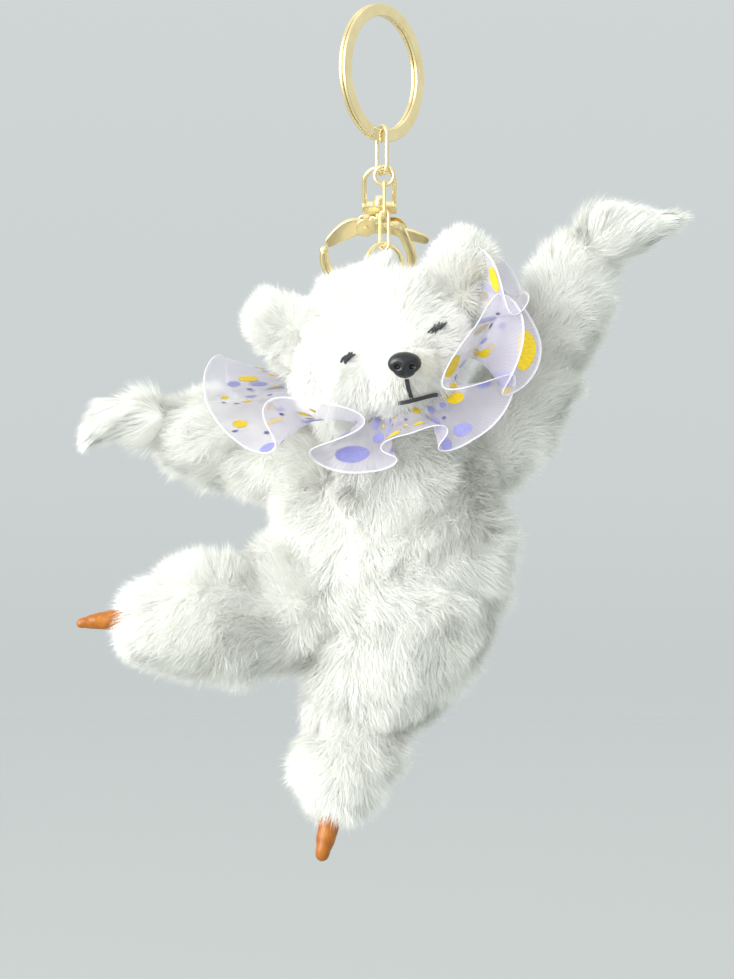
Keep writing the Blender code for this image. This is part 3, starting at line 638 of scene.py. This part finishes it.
def head_fur():
    pelt = pelt_of("head_pelt", "head", [
        (HEAD, HEAD_R - 4.0), (MUZZLE, MUZZLE_R - 2.2), ((HEAD + MUZZLE) / 2 + (0, 1, 0.6), 11.6),
        (HEAD + HEAD_X * 6 + (0, -4, -5), 11.6), (HEAD - HEAD_X * 7 + (0, -4, -5), 11.8),
        (HEAD + HEAD_X * 2 + (0, -8, -8.5), 9.2)], "head_skin", 0.7, 8)
    fill_of("head_fill", "head", [(HEAD, HEAD_R - 6.5), (MUZZLE, MUZZLE_R - 4.5)], "head_stuffing")

    def comb(p, n):
        return unit(p - NOSE - np.array((0, -1.5, 1.0))) + noise(p, 9, 41) * 0.22

    def keep(p, n, rng):
        chance = np.ones(len(p))
        chance[np.linalg.norm(p - NOSE, axis=1) < 3.1] = 0
        for (x, z), _, _ in EYES:
            gap = np.hypot(p[:, 0] - x, p[:, 2] - z)
            chance[(gap < 2.1) & (p[:, 1] < HEAD[1])] = 0.4
        return rng.random(len(p)) < chance
    coat("head_fur", "head", pelt, comb, face_length, seed=4, density=22, keep=keep, lean=(50, 76), curl=0.07,
         clump=0.1, clump_size=1.3, width=0.1, spread=0.14)
    face(front_of(pelt))
    for side, name in ((-1, "ear_right"), (1, "ear_left")):
        centre = HEAD + HEAD_X * EAR_PLACE[0] * side + HEAD_Y * EAR_PLACE[1] + HEAD_Z * EAR_PLACE[2]
        inner = centre - HEAD_X * side * 3.5 - HEAD_Z * 3
        below = centre - HEAD_X * side * (2.4 if side < 0 else 5) - HEAD_Z * 7.2
        balls = [(centre, (5.6, 3.0, 5.4), HEAD_TURN), (inner, (5.0, 3.6, 5.0), HEAD_TURN),
                 (below, (4.9, 3.6, 4.8), HEAD_TURN)]
        ear = pelt_of(name + "_pelt", "head", balls, name, 0.6, 5)

        def outward(p, n, inner=inner, side=side):
            return unit(p - inner) + HEAD_Z * 0.35 + noise(p, 6, 50 + side) * 0.35
        coat(name + "_fur", "head", ear, outward, lambda p, n: 4.2 + noise(p, 5, 7)[:, 0] * 0.4,
             seed=60 + side, density=22, lean=(28, 58), clump=0.06)


# ------------------------------------------------------------------ face details

def nose():
    """A moulded nose: broad above, with two nostril dimples and a crease below."""
    me_obj = clay("nose_gloss_form", [(NOSE, (3.6, 2.1, 2.5)), (NOSE + (0, 0.2, -1.2), (2.5, 1.7, 1.9)),
                                      (NOSE + (0, 0.4, 0.9), (3.2, 1.8, 1.6))], 0.16, 6, [nose_material()])
    me = me_obj.data
    co = points_of(me)
    for side in (-1, 1):
        hole = NOSE + np.array((1.55 * side, -2.1, -0.75))
        d = np.linalg.norm((co - hole) / (1.0, 1.6, 0.8), axis=1)
        co[:, 1] += 1.1 * np.exp(-(d / 0.75) ** 2)
    crease = np.exp(-((co[:, 0] - NOSE[0]) / 0.35) ** 2) * np.clip((NOSE[2] - 0.6 - co[:, 2]) / 1.5, 0, 1)
    co[:, 1] += 0.45 * crease * (co[:, 1] < NOSE[1])
    me.vertices.foreach_set("co", (co * MM).ravel())
    me_obj.name = "nose_gloss"
    replace_node(me_obj, "nose", "head")


def threads(name, node, lines, radius):
    """Several short stitches as one piece."""
    verts, polys, at = [], [[], []], 0
    for line in lines:
        v, p = swept(smooth_path(line, 4), round_section(8), radius)
        verts.append(v)
        polys[0].append(p[0] + at)
        polys[1] += [p[1] + at, p[2] + at]
        at += len(v)
    obj = mesh_object(name, np.vstack(verts), [np.vstack(polys[0]), np.vstack(polys[1])], [BLACK_THREAD])
    replace_node(obj, node, "head")


def face(on_face):
    for ((x, z), slope, wide), node in zip(EYES, ("eye_stitch_right", "eye_stitch_left")):
        rng = np.random.default_rng(int(abs(x) * 10))
        lines = []
        for k in range(7):
            t = (k - 3) / 3
            cx, cz = x + wide * t, z + slope * 1.5 * t
            h = 1.05 * (1 - 0.35 * t * t) * rng.uniform(0.75, 1.15)
            dx = 0.55 + rng.uniform(-0.2, 0.2)
            lines.append([on_face(cx - dx, cz - h, 0.9), on_face(cx, cz, 1.5), on_face(cx + dx, cz + h, 0.9)])
        threads(node + "_threads", node, lines, 0.2)
    mouth = [on_face(px, pz, o) for px, pz, o in ((4.7, -79.0, 1.2), (5.0, -80.8, 1.3), (5.5, -82.8, 1.2))]
    mouth2 = [p + (0.45, 0.05, 0) for p in mouth]
    lip = [on_face(px, pz, o) for px, pz, o in ((3.3, -84.1, 1.0), (5.0, -83.5, 1.5), (7.2, -82.9, 1.6),
                                                (9.4, -82.4, 1.4), (11.4, -82.0, 1.1), (13.4, -81.8, 0.7))]
    lip2 = [p + (0, -0.1, 0.38) for p in lip[:-1]]
    threads("mouth_threads", "mouth_stitch", [mouth, mouth2, lip, lip2], 0.27)


def toe(name, body, stations, seed):
    path = smooth_path(stations, 6)
    balls = [(p[:3], (p[3] * 1.02, p[3] * 0.95, p[3] * 1.02)) for p in path]
    obj = clay(name + "_form", balls, 0.22, 8, [toe_material()])
    me = obj.data
    co = points_of(me)
    no = np.array([v.normal for v in me.vertices])
    co += no * (noise(co, 1.6, seed)[:, :1] * 0.05)
    me.vertices.foreach_set("co", (co * MM).ravel())
    obj.name = name + "_gloss"
    replace_node(obj, name, body)


# ------------------------------------------------------------------ ribbon collar

RIBBON_W = 18.0
EDGE_W = 0.45
# cut length is a chosen number: the free edge drawn below is 508 long, so the cloth can't come from a strip
# this short, and the sheet test would fail at 508
RIBBON_FLAT = 400.0
GATHER_R = 16.8
COLLAR_AXIS = HEAD_Z * math.cos(COLLAR_TILT) - HEAD_Y * math.sin(COLLAR_TILT)
COLLAR_CENTRE = HEAD - COLLAR_AXIS * COLLAR_BELOW
# each crest and trough: its place round the neck and its rise from the collar's plane, in degrees
FRILL = [(9, 46), (36, -12), (62, 22), (88, -8), (114, 16), (140, -10), (165, 20), (201, 11), (229, 52),
         (248, -2), (267, 20), (288, -6), (318, 56), (342, -14)]


def frill(theta):
    """Rise and the share of the way from one crest or trough to the next, for each angle in degrees."""
    at = np.array([f[0] for f in FRILL] + [FRILL[0][0] + 360.0])
    rise = np.array([f[1] for f in FRILL] + [FRILL[0][1]])
    theta = (theta - at[0]) % 360 + at[0]
    k = np.clip(np.searchsorted(at, theta, side="right") - 1, 0, len(at) - 2)
    t = (theta - at[k]) / (at[k + 1] - at[k])
    turn = (1 - np.cos(math.pi * t)) / 2 - 0.03 * np.sin(4 * math.pi * t)
    return rise[k] + (rise[k + 1] - rise[k]) * turn, t, np.abs(rise[k + 1] - rise[k])


def ribbon_point(u, v):
    """u runs once round the neck from 0 to 1, and v across the ribbon from the gathers to its free edge.

    Each line across the ribbon keeps its width and swings up and down about the gathers, so the free edge
    waves; it also swings along the neck, which rolls the waves into loops.
    """
    u, v = np.broadcast_arrays(np.asarray(u, float), np.asarray(v, float))
    th = 2 * math.pi * u
    rise, share, height = frill(np.degrees(th))
    rise = np.radians(rise * (0.5 + 0.5 * v) + 5 * v * (1 - v) * np.sin(23 * th + 1))
    reach = np.minimum(50, 8 + 26 * np.radians(height) ** 2)
    swing = np.radians(reach * np.sin(2 * math.pi * share)) * v ** 0.5
    right, front = np.maximum(-np.cos(th), 0) ** 2, np.maximum(-np.sin(th), 0) ** 2
    left = np.maximum(np.cos(th), 0) ** 2
    back = np.maximum(0, np.sin(th - math.radians(15))) ** 2
    tilt = (COLLAR_TILT * (1 - back) - 0.12 * back)[..., None]
    cos, sin = np.cos(th)[..., None], np.sin(th)[..., None]
    backward = HEAD_Y * np.cos(tilt) + HEAD_Z * np.sin(tilt)
    radial, tangent = HEAD_X * cos + backward * sin, backward * cos - HEAD_X * sin
    way = (radial * (np.cos(rise) * np.cos(swing))[..., None] + tangent * np.sin(swing)[..., None]
           + COLLAR_AXIS * (np.sin(rise) * np.cos(swing))[..., None])
    pleats = 0.6 * np.exp(-((v / 0.2) ** 2)) * np.sin(44 * th)
    p = (COLLAR_CENTRE + radial * (GATHER_R + 6.0 * right - 0.8 * front - 2.2 * left)[..., None]
         + way * (RIBBON_W * v)[..., None] + COLLAR_AXIS * pleats[..., None])
    p[..., 1] -= (7.0 * np.cos(th) ** 2 + 15.0 * right) * v
    return p


def ribbon():
    across, along = 22, 1320
    u = np.arange(along) / along
    v = np.append(np.linspace(0, 1 - EDGE_W / RIBBON_W, across - 1), 1.0)
    verts = ribbon_point(u[:, None], v[None]).reshape(-1, 3)
    i, j = np.meshgrid(np.arange(along), np.arange(across - 1), indexing="ij")
    quads = np.stack([i * across + j, ((i + 1) % along) * across + j,
                      ((i + 1) % along) * across + j + 1, i * across + j + 1], -1).reshape(-1, 4)
    edge = j.ravel() == across - 2
    sheer = ribbon_material("organza", (0.80, 0.755, 0.90), 0.42)
    woven = ribbon_material("organza_edge", (0.90, 0.87, 0.97), 0.62)
    obj = mesh_object("collar_organza", verts, [quads], [sheer, woven], edge.astype(int))
    layer = obj.data.uv_layers.new(name="flat")
    ui, vj = i.ravel(), j.ravel()
    at = np.stack([np.stack([ui, vj], 1), np.stack([ui + 1, vj], 1), np.stack([ui + 1, vj + 1], 1),
                   np.stack([ui, vj + 1], 1)], 1).astype(float)
    at[..., 0] *= RIBBON_FLAT / along
    at[..., 1] = RIBBON_W * v[at[..., 1].astype(int)]
    layer.data.foreach_set("uv", at.astype(np.float32).ravel())
    replace_node(obj, "collar_ribbon", "head")
    extra = [ribbon_edge(), ribbon_dots()]
    u = np.arange(480) / 480
    thread = tube("collar_gathers", ribbon_point(u, np.full(480, 0.03)), 0.22,
                  [thread_material("lilac_thread", (0.78, 0.75, 0.90))], sides=8)
    replace_node(thread, "collar_thread", "head")


def ribbon_edge():
    u = np.arange(1600) / 1600
    mat, nt, shader = node_material("selvage_thread", (0.86, 0.84, 0.95), 0.5, 0.0, Sheen_Weight=0.4)
    tint(nt, shader, object_noise(nt, 2500, 3), [(0.3, (0.84, 0.82, 0.92)), (0.7, (0.97, 0.96, 1.0))])
    obj = tube("collar_edge", ribbon_point(u, np.ones(1600)), 0.13, [mat], sides=6)
    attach(obj, "head")
    return obj


def ribbon_dots():
    """Printed dots of three inks and many sizes, each a thin patch that follows the ribbon."""
    rng = np.random.default_rng(77)
    inks = [print_material("ink_yellow", (0.93, 0.66, 0.01)), print_material("ink_blue", (0.36, 0.36, 0.74)),
            print_material("ink_plum", (0.16, 0.13, 0.36))]
    verts, quads, tris, quad_slots, tri_slots, at = [], [], [], [], [], 0
    placed = []
    sizes = [2.2] * 24 + [1.6] * 32 + [0.95] * 34 + [0.55] * 44
    for size in sizes:
        for _ in range(60):
            s, w = rng.uniform(0, RIBBON_FLAT), rng.uniform(2.6 + size * 0.4, RIBBON_W - 0.9 - size * 0.6)
            if all(math.hypot(s - a, w - b) > size + c + 1.1 for a, b, c in placed):
                break
        else:
            continue
        placed.append((s, w, size))
        ink = int(rng.integers(0, 2)) if size > 0.8 else int(rng.choice([0, 2, 2]))
        rings, around = (4, 28) if size > 1.2 else (3, 18)
        a = np.arange(around) * 2 * math.pi / around
        stretch = rng.uniform(0.75, 1.25)
        rr = (np.arange(rings) + 1) / rings
        ds = s + (rr[:, None] * np.cos(a) * size * stretch).ravel()
        dw = w + (rr[:, None] * np.sin(a) * size / stretch).ravel()
        ds, dw = np.append(ds, s), np.clip(np.append(dw, w), 0.4, RIBBON_W - 0.3)
        uu, vv = ds / RIBBON_FLAT, dw / RIBBON_W
        p = ribbon_point(uu, vv)
        e = 1e-4
        normal = unit(np.cross(ribbon_point(uu + e, vv) - p, ribbon_point(uu, vv + e * 5) - p))
        k = len(p)
        verts += [p + normal * 0.05, p - normal * 0.05]
        for flip in (0, 1):
            base = at + flip * k
            for ring in range(rings - 1):
                b = base + ring * around + np.arange(around)
                c = base + ring * around + (np.arange(around) + 1) % around
                q = np.stack([b, b + around, c + around, c], 1)
                quads.append(q[:, ::-1] if flip else q)
                quad_slots += [ink] * around
            b, c = base + np.arange(around), base + (np.arange(around) + 1) % around
            t = np.stack([b, c, np.full(around, base + k - 1)], 1)
            tris.append(t[:, ::-1] if flip else t)
            tri_slots += [ink] * around
        at += 2 * k
    obj = mesh_object("collar_dots", np.vstack(verts), [np.vstack(quads), np.vstack(tris)], inks,
                      quad_slots + tri_slots)
    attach(obj, "head")
    return obj


# ------------------------------------------------------------------ hardware

def rounded_box_section(w, h, r):
    """Corner-rounded rectangle, w by h from its middle, as points."""
    n, pts = 6, []
    for cx, cy, start in ((w - r, h - r, 0), (r - w, h - r, 90), (r - w, r - h, 180), (w - r, r - h, 270)):
        for k in range(n + 1):
            a = math.radians(start + 90 * k / n)
            pts.append((cx + r * math.cos(a), cy + r * math.sin(a)))
    return np.array(pts)


def key_ring():
    radius = (RING_INNER_R + RING_OUTER_R) / 2
    half, j, steps = (RING_STRIP + 0.12) / 2, RING_SPLIT_HALF, 420
    out = np.array((math.sin(-RING_TURN), math.cos(RING_TURN), 0))
    up = np.array((0, 0, 1.0))
    face = np.array((math.cos(RING_TURN), math.sin(RING_TURN), 0))
    k = np.arange(steps + 1) / steps
    a = j * 1.3 + (4 * math.pi - 2.6 * j) * k
    level = half * np.sin(np.clip((a - 2 * math.pi) / j, -1, 1) * math.pi / 2)
    turn = a + math.radians(-97)
    radial = out * np.cos(turn)[:, None] + up * np.sin(turn)[:, None]
    path = np.array((0, 0, -RING_INNER_R)) + radial * radius + face * level[:, None]
    section = rounded_box_section((RING_OUTER_R - RING_INNER_R) / 2, RING_STRIP / 2, 0.3)
    n, m = len(path), len(section)
    verts = path[:, None] + radial[:, None] * section[None, :, :1] + face * section[None, :, 1:]
    verts = verts.reshape(-1, 3)
    verts = np.vstack([verts, path[:1], path[-1:]])
    quads, first, last = tube_faces(n, m, False)
    caps = np.vstack([first, last])[:, [1, 0, 2]]
    obj = mesh_object("key_ring_coil", verts, [quads[:, ::-1], caps], [GOLD])
    replace_node(obj, "key_ring", "key_ring")


def oval(bend_r, top, bottom_z, turn):
    """A chain link: two half circles joined by straight sides."""
    steps, straight = 20, 6
    side = np.array((math.cos(turn), math.sin(turn), 0))
    up = np.array((0, 0, 1.0))
    top = np.array(top, float)
    low = np.array((top[0], top[1], bottom_z + bend_r))
    rows = []
    for centre, start, other in ((top, 0.0, low), (low, math.pi, top)):
        for k in range(steps + 1):
            a = start + math.pi * k / steps
            rows.append(centre + side * bend_r * math.cos(a) + up * bend_r * math.sin(a))
        last = rows[-1]
        nxt = other + side * bend_r * math.cos(start + math.pi)
        for k in range(1, straight):
            rows.append(last + (nxt - last) * k / straight)
    return np.array(rows)


def circle(centre, radius, turn):
    a = np.arange(64) * 2 * math.pi / 64
    side = np.array((math.cos(turn), math.sin(turn), 0))
    up = np.array((0, 0, radius))
    return np.array(centre) + side * radius * np.cos(a)[:, None] + up * np.sin(a)[:, None]


def gold_wire(name, path, radius, node):
    replace_node(tube(name, path, radius, [GOLD]), node, node)


def chain():
    gold_wire("ring_link_wire", oval(LINK_BEND_R, LINK_TOP, LINK_BOTTOM, LINK_TURN), LINK_WIRE_R, "ring_link")
    centre = np.array(CHAIN_TOP) + (0, 0, GAP + LINK_WIRE_R + CHAIN_RING_WIRE_R - CHAIN_RING_R)
    gold_wire("chain_ring_wire", circle(centre, CHAIN_RING_R, 0), CHAIN_RING_WIRE_R, "chain_ring")
    upper = centre - (0, 0, CHAIN_RING_R)
    gold_wire("chain_link_upper_wire", oval(CHAIN_BEND_R, upper, UPPER_LINK_BOTTOM, math.pi / 2),
              CHAIN_WIRE_R, "chain_link_upper")
    lower = np.array((upper[0], upper[1], UPPER_LINK_BOTTOM))
    gold_wire("chain_link_lower_wire", oval(CHAIN_BEND_R, lower, LOWER_LINK_BOTTOM, LOWER_LINK_TURN),
              CHAIN_WIRE_R, "chain_link_lower")
    ring_z = LOWER_LINK_BOTTOM + CHAIN_WIRE_R + GAP + HEAD_RING_WIRE_R - HEAD_RING_R
    ring = np.array((lower[0], lower[1], ring_z))
    gold_wire("head_ring_wire", circle(ring, HEAD_RING_R, HEAD_RING_TURN), HEAD_RING_WIRE_R, "head_ring")


CLASP = Matrix.Translation(Vector(CLASP_PIVOT) * MM) @ Matrix.Rotation(CLASP_LEAN, 4, "X")


def box_object(name, size, at, bevel=0.0):
    bm = bmesh.new()
    bmesh.ops.create_cube(bm, size=1, matrix=Matrix.Translation(Vector(at) * MM)
                          @ Matrix.Diagonal((*(Vector(size) * MM), 1)))
    if bevel:
        bmesh.ops.bevel(bm, geom=bm.edges[:], offset=bevel * MM, segments=4, affect="EDGES", profile=0.5)
    return from_bmesh(name, bm)


def cylinder_object(name, radius, length, at, axis="Z", top=None):
    bm = bmesh.new()
    turn = Matrix.Rotation(math.pi / 2, 4, "X") if axis == "Y" else Matrix.Identity(4)
    bmesh.ops.create_cone(bm, cap_ends=True, segments=48, radius1=radius * MM,
                          radius2=(radius if top is None else top) * MM, depth=length * MM,
                          matrix=Matrix.Translation(Vector(at) * MM) @ turn)
    return from_bmesh(name, bm)


def outline_object(name, points, depth, bevel=0.0):
    """A plate with this outline in the XZ plane."""
    bm = bmesh.new()
    front = [bm.verts.new((x * MM, -depth / 2 * MM, z * MM)) for x, z in points]
    face = bm.faces.new(front)
    got = bmesh.ops.extrude_face_region(bm, geom=[face])
    moved = [v for v in got["geom"] if isinstance(v, bmesh.types.BMVert)]
    bmesh.ops.translate(bm, verts=moved, vec=(0, depth * MM, 0))
    bmesh.ops.recalc_face_normals(bm, faces=bm.faces[:])
    if bevel:
        rim = [e for e in bm.edges if abs(e.verts[0].co.y - e.verts[1].co.y) < 1e-9]
        bmesh.ops.bevel(bm, geom=rim, offset=bevel * MM, segments=4, affect="EDGES", profile=0.5)
    return from_bmesh(name, bm)


def joined(objs, name):
    """Several meshes as one object, unjoined where they cross."""
    bm = bmesh.new()
    for o in objs:
        bm.from_mesh(o.data)
        bpy.data.objects.remove(o)
    return from_bmesh(name, bm)


def subtract(obj, cutters):
    """Cuts each cutter's shape out of obj and removes the cutters."""
    for c in cutters:
        mod = obj.modifiers.new("cut", "BOOLEAN")
        mod.operation = "DIFFERENCE"
        mod.object = c
    me = evaluated(obj)
    for c in cutters:
        bpy.data.objects.remove(c)
    return placed(me.name, me)


def cast(obj, name, voxel=0.13, rounds=4):
    """Melts an object's parts into one cast form with small fillets, and stands it on the clasp's frame."""
    out = remeshed(obj, name, voxel, rounds, [GOLD])
    out.data.transform(CLASP)
    return out


def smooth_outline(points, steps=5):
    """The same curve closed on itself."""
    s = np.array(points, float)
    n = len(s)
    out = []
    for i in range(n):
        for t in np.arange(steps) / steps:
            out.append(tuple(catmull_rom(s[i - 1], s[i], s[(i + 1) % n], s[(i + 2) % n], t)))
    return out


def clasp():
    bar_z = BAIL_BAR_Z
    centre = BAIL_ARCH_TOP - BAIL_BEND_R
    arch = [(BAIL_BEND_R, 0, bar_z), (BAIL_BEND_R, 0, bar_z / 2 + centre / 2)]
    arch += [(BAIL_BEND_R * math.cos(a), 0, centre + BAIL_BEND_R * math.sin(a))
             for a in np.linspace(0, math.pi, 33)]
    arch += [(-BAIL_BEND_R, 0, bar_z / 2 + centre / 2), (-BAIL_BEND_R, 0, bar_z)]
    verts, polys = swept(np.array(arch, float), round_section(16), BAIL_WIRE_R)
    wire = mesh_object("bail_wire", verts, polys, [GOLD])
    bar_size = (2 * (BAIL_BEND_R + BAIL_WIRE_R), BAIL_BAR_D, BAIL_BAR_H)
    bar = box_object("bail_bar", bar_size, (0, 0, bar_z), 0.3)
    hole = cylinder_object("hole", POST_R + GAP, 4, (0, 0, bar_z))
    bail = subtract(joined([wire, bar], "bail_parts"), [hole])
    replace_node(cast(bail, "clasp_bail_cast", 0.1, 3), "clasp_bail", "bail")

    top, foot = bar_z + BAIL_BAR_H / 2 + GAP, -10.2
    stem = cylinder_object("stem", POST_R, top - foot, (0, 0, (top + foot) / 2))
    cap = cylinder_object("cap", 1.45, 1.3, (0, 0, top + 0.6), top=0.95)
    replace_node(cast(joined([stem, cap], "rivet"), "swivel_post_rivet", 0.08, 4), "swivel_post", "clasp")

    hook = [(1.8, 0, -11.9, 1.6), (4.2, 0, -12.6, 1.9), (6.2, 0, -16.5, 1.6), (7.2, 0, -21, 1.5),
            (5.6, 0, -26, 1.6), (1.0, 0, -29.6, 1.7), (-5.0, 0, -29.4, 1.7), (-9.8, 0, -26, 1.6),
            (-12.0, 0, -21.5, 1.4), (-12.2, 0, -18.6, 1.1)]
    path = smooth_path(hook, 10)
    size = np.stack([path[:, 3] * 0.82, path[:, 3]], 1)
    verts, polys = swept(path[:, :3], round_section(20), size, up=(0, 1.0, 0))
    hook_obj = mesh_object("hook", verts, polys, [GOLD])
    balls = [(path[0, :3], (1.6, 1.3, 1.6)), (path[-1, :3], (1.1, 0.95, 1.1))]
    ends = clay("hook_ends", balls, 0.12, 1, [GOLD])
    neck = cylinder_object("neck", 2.3, 1.5, (0, 0, -10.3))
    hub = cylinder_object("hub", 2.2, 2.7, GATE_PIVOT, "Y")
    slot = [(-16, -12), (-9.2, -11.6), (-6.4, -10.2), (-3.9, -10.4), (-2.9, -10.5), (-1.5, -11.0),
            (-0.6, -11.35), (1.0, -11.2), (2.5, -10.1), (6, -8.8), (14, -8.8), (14, -17.3), (8.6, -17.0),
            (5, -15.7), (1.5, -14.8), (-2, -14.6), (-5, -16.5), (-9, -19), (-10.5, -17.4), (-16, -17.4)]
    merged = remeshed(joined([hook_obj, ends, neck, hub], "body_parts"), "body_parts", 0.13, 4, [GOLD])
    body = subtract(merged, [outline_object("slot", slot, 1.8)])
    replace_node(cast(body, "clasp_body_cast", 0.12, 2), "clasp_body", "clasp")

    edge = [(-11.9, -15.9), (-9.1, -12.4), (-6.4, -10.9), (-3.9, -11.0), (-2.9, -10.9), (-1.8, -11.4),
            (-0.8, -12.1), (2.5, -12.4), (5.0, -12.9), (8.3, -13.9), (10.5, -15.0), (11.0, -15.9),
            (10.3, -16.8), (8.6, -16.5), (5.0, -15.3), (1.5, -14.4), (-2.0, -14.2), (-4.5, -14.6),
            (-8.0, -16.2), (-11.0, -17.6)]
    gate = outline_object("gate", smooth_outline(edge), 1.3, 0.3)
    replace_node(cast(gate, "clasp_gate_cast", 0.1, 3), "clasp_gate", "gate")
    pin = cylinder_object("pin", 0.55, 3.6, GATE_PIVOT, "Y")
    replace_node(cast(pin, "gate_pin_rivet", 0.07, 3), "gate_pin", "clasp")


def cad_looks():
    """Inner pieces keep their solid's shape and get their metal."""
    for name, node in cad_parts.items():
        if "wire" in name or name in ("head_loop", "nose_washer", "gate_spring"):
            node.data.materials.clear()
            node.data.materials.append(STEEL)


# ------------------------------------------------------------------ light, floor and camera

FLOOR_Z = -0.275


def studio():
    scene = bpy.context.scene
    cam_data = bpy.data.cameras.new("camera")
    cam = placed("camera", cam_data)
    distance, view_height, sensor = 0.70, 0.2128, 36
    cam.location = (-0.00326, -distance, -0.1028)
    cam.rotation_euler = (math.pi / 2, 0, 0)
    cam_data.sensor_width = sensor
    cam_data.lens = sensor * distance / view_height
    cam_data.clip_start, cam_data.clip_end = 0.01, 50
    scene.camera = cam
    scene.view_settings.view_transform = "Standard"

    world = bpy.data.worlds.new("studio")
    scene.world = world
    world.use_nodes = True
    nt = world.node_tree
    back = nt.nodes["Background"]
    coords = nt.nodes.new("ShaderNodeTexCoord")
    split = nt.nodes.new("ShaderNodeSeparateXYZ")
    nt.links.new(coords.outputs["Generated"], split.inputs[0])
    place = nt.nodes.new("ShaderNodeMapRange")
    place.inputs["From Min"].default_value = -0.35
    place.inputs["From Max"].default_value = 0.35
    nt.links.new(split.outputs["Z"], place.inputs["Value"])
    sky = ramp(nt, place.outputs["Result"], [(0.0, (0.62, 0.65, 0.65)), (0.42, (0.57, 0.61, 0.61)),
                                             (0.5, (0.60, 0.64, 0.64)), (1.0, (0.67, 0.71, 0.70))])
    nt.links.new(sky, back.inputs["Color"])
    back.inputs["Strength"].default_value = 1.0

    def area(name, at, size, power, colour=(1, 1, 1)):
        data = bpy.data.lights.new(name, "AREA")
        data.shape = "RECTANGLE"
        data.size, data.size_y = size
        data.energy = power
        data.color = colour
        obj = placed(name, data)
        obj.location = at
        obj.rotation_euler = (Vector((0, 0, -0.1)) - Vector(at)).to_track_quat("-Z", "Y").to_euler()

    def sun(name, toward, strength, angle):
        data = bpy.data.lights.new(name, "SUN")
        data.energy = strength
        data.angle = math.radians(angle)
        placed(name, data).rotation_euler = Vector(toward).to_track_quat("Z", "Y").to_euler()

    area("window", (-0.78, -0.62, 0.05), (0.7, 1.0), 9.0, (1.0, 0.99, 0.965))
    sun("daylight", (-0.9, -0.6, 0.1), 2.0, 90)
    area("front_fill", (0.0, -1.3, 0.2), (1.2, 0.8), 0.5)
    sun("bounce", (-0.2, -1.0, -0.35), 0.28, 150)
    sun("ceiling", (-0.3, -0.25, 1.0), 0.8, 120)
    sun("room", (0.4, 1.0, 0.35), 0.4, 140)

    bm = bmesh.new()
    bmesh.ops.create_grid(bm, x_segments=8, y_segments=8, size=3.0)
    floor = from_bmesh("floor", bm)
    floor.location = (0, 0, FLOOR_Z)
    mat, nt, shader = node_material("pale_floor", (0.47, 0.492, 0.487), 0.6)
    out = nt.nodes["Material Output"]
    clear = nt.nodes.new("ShaderNodeBsdfTransparent")
    mix = nt.nodes.new("ShaderNodeMixShader")
    where = nt.nodes.new("ShaderNodeTexCoord")
    length = nt.nodes.new("ShaderNodeVectorMath")
    length.operation = "LENGTH"
    nt.links.new(where.outputs["Object"], length.inputs[0])
    fade = nt.nodes.new("ShaderNodeMapRange")
    fade.interpolation_type = "SMOOTHSTEP"
    fade.inputs["From Min"].default_value = 0.5
    fade.inputs["From Max"].default_value = 2.6
    nt.links.new(length.outputs["Value"], fade.inputs["Value"])
    nt.links.new(fade.outputs["Result"], mix.inputs[0])
    nt.links.new(shader.outputs[0], mix.inputs[1])
    nt.links.new(clear.outputs[0], mix.inputs[2])
    nt.links.new(mix.outputs[0], out.inputs["Surface"])
    floor.data.materials.append(mat)


studio()
key_ring()
chain()
clasp()
cad_looks()
head_fur()
nose()
ribbon()
torso_fur()
limb_fur("arm_right", ARM_RIGHT, 2.7, 5.7, 12)
limb_fur("arm_left", ARM_LEFT, 2.3, 5.6, 14)
limb_fur("leg_right", LEG_RIGHT, 2.8, 6.0, 16, [((-18.5, 2, -127.5), 12.6)])
limb_fur("leg_left", LEG_LEFT, 3.3, 6.0, 18, [((-8.6, 2.2, -163.2), 9.0), ((-9.2, 2.5, -150.5), 6.5)])
paw_fur("paw_right", PAW_RIGHT, 20)
paw_fur("paw_left", PAW_LEFT, 22)
toe("toe_right", "leg_right", TOE_RIGHT, 30)
toe("toe_left", "leg_left", TOE_LEFT, 31)
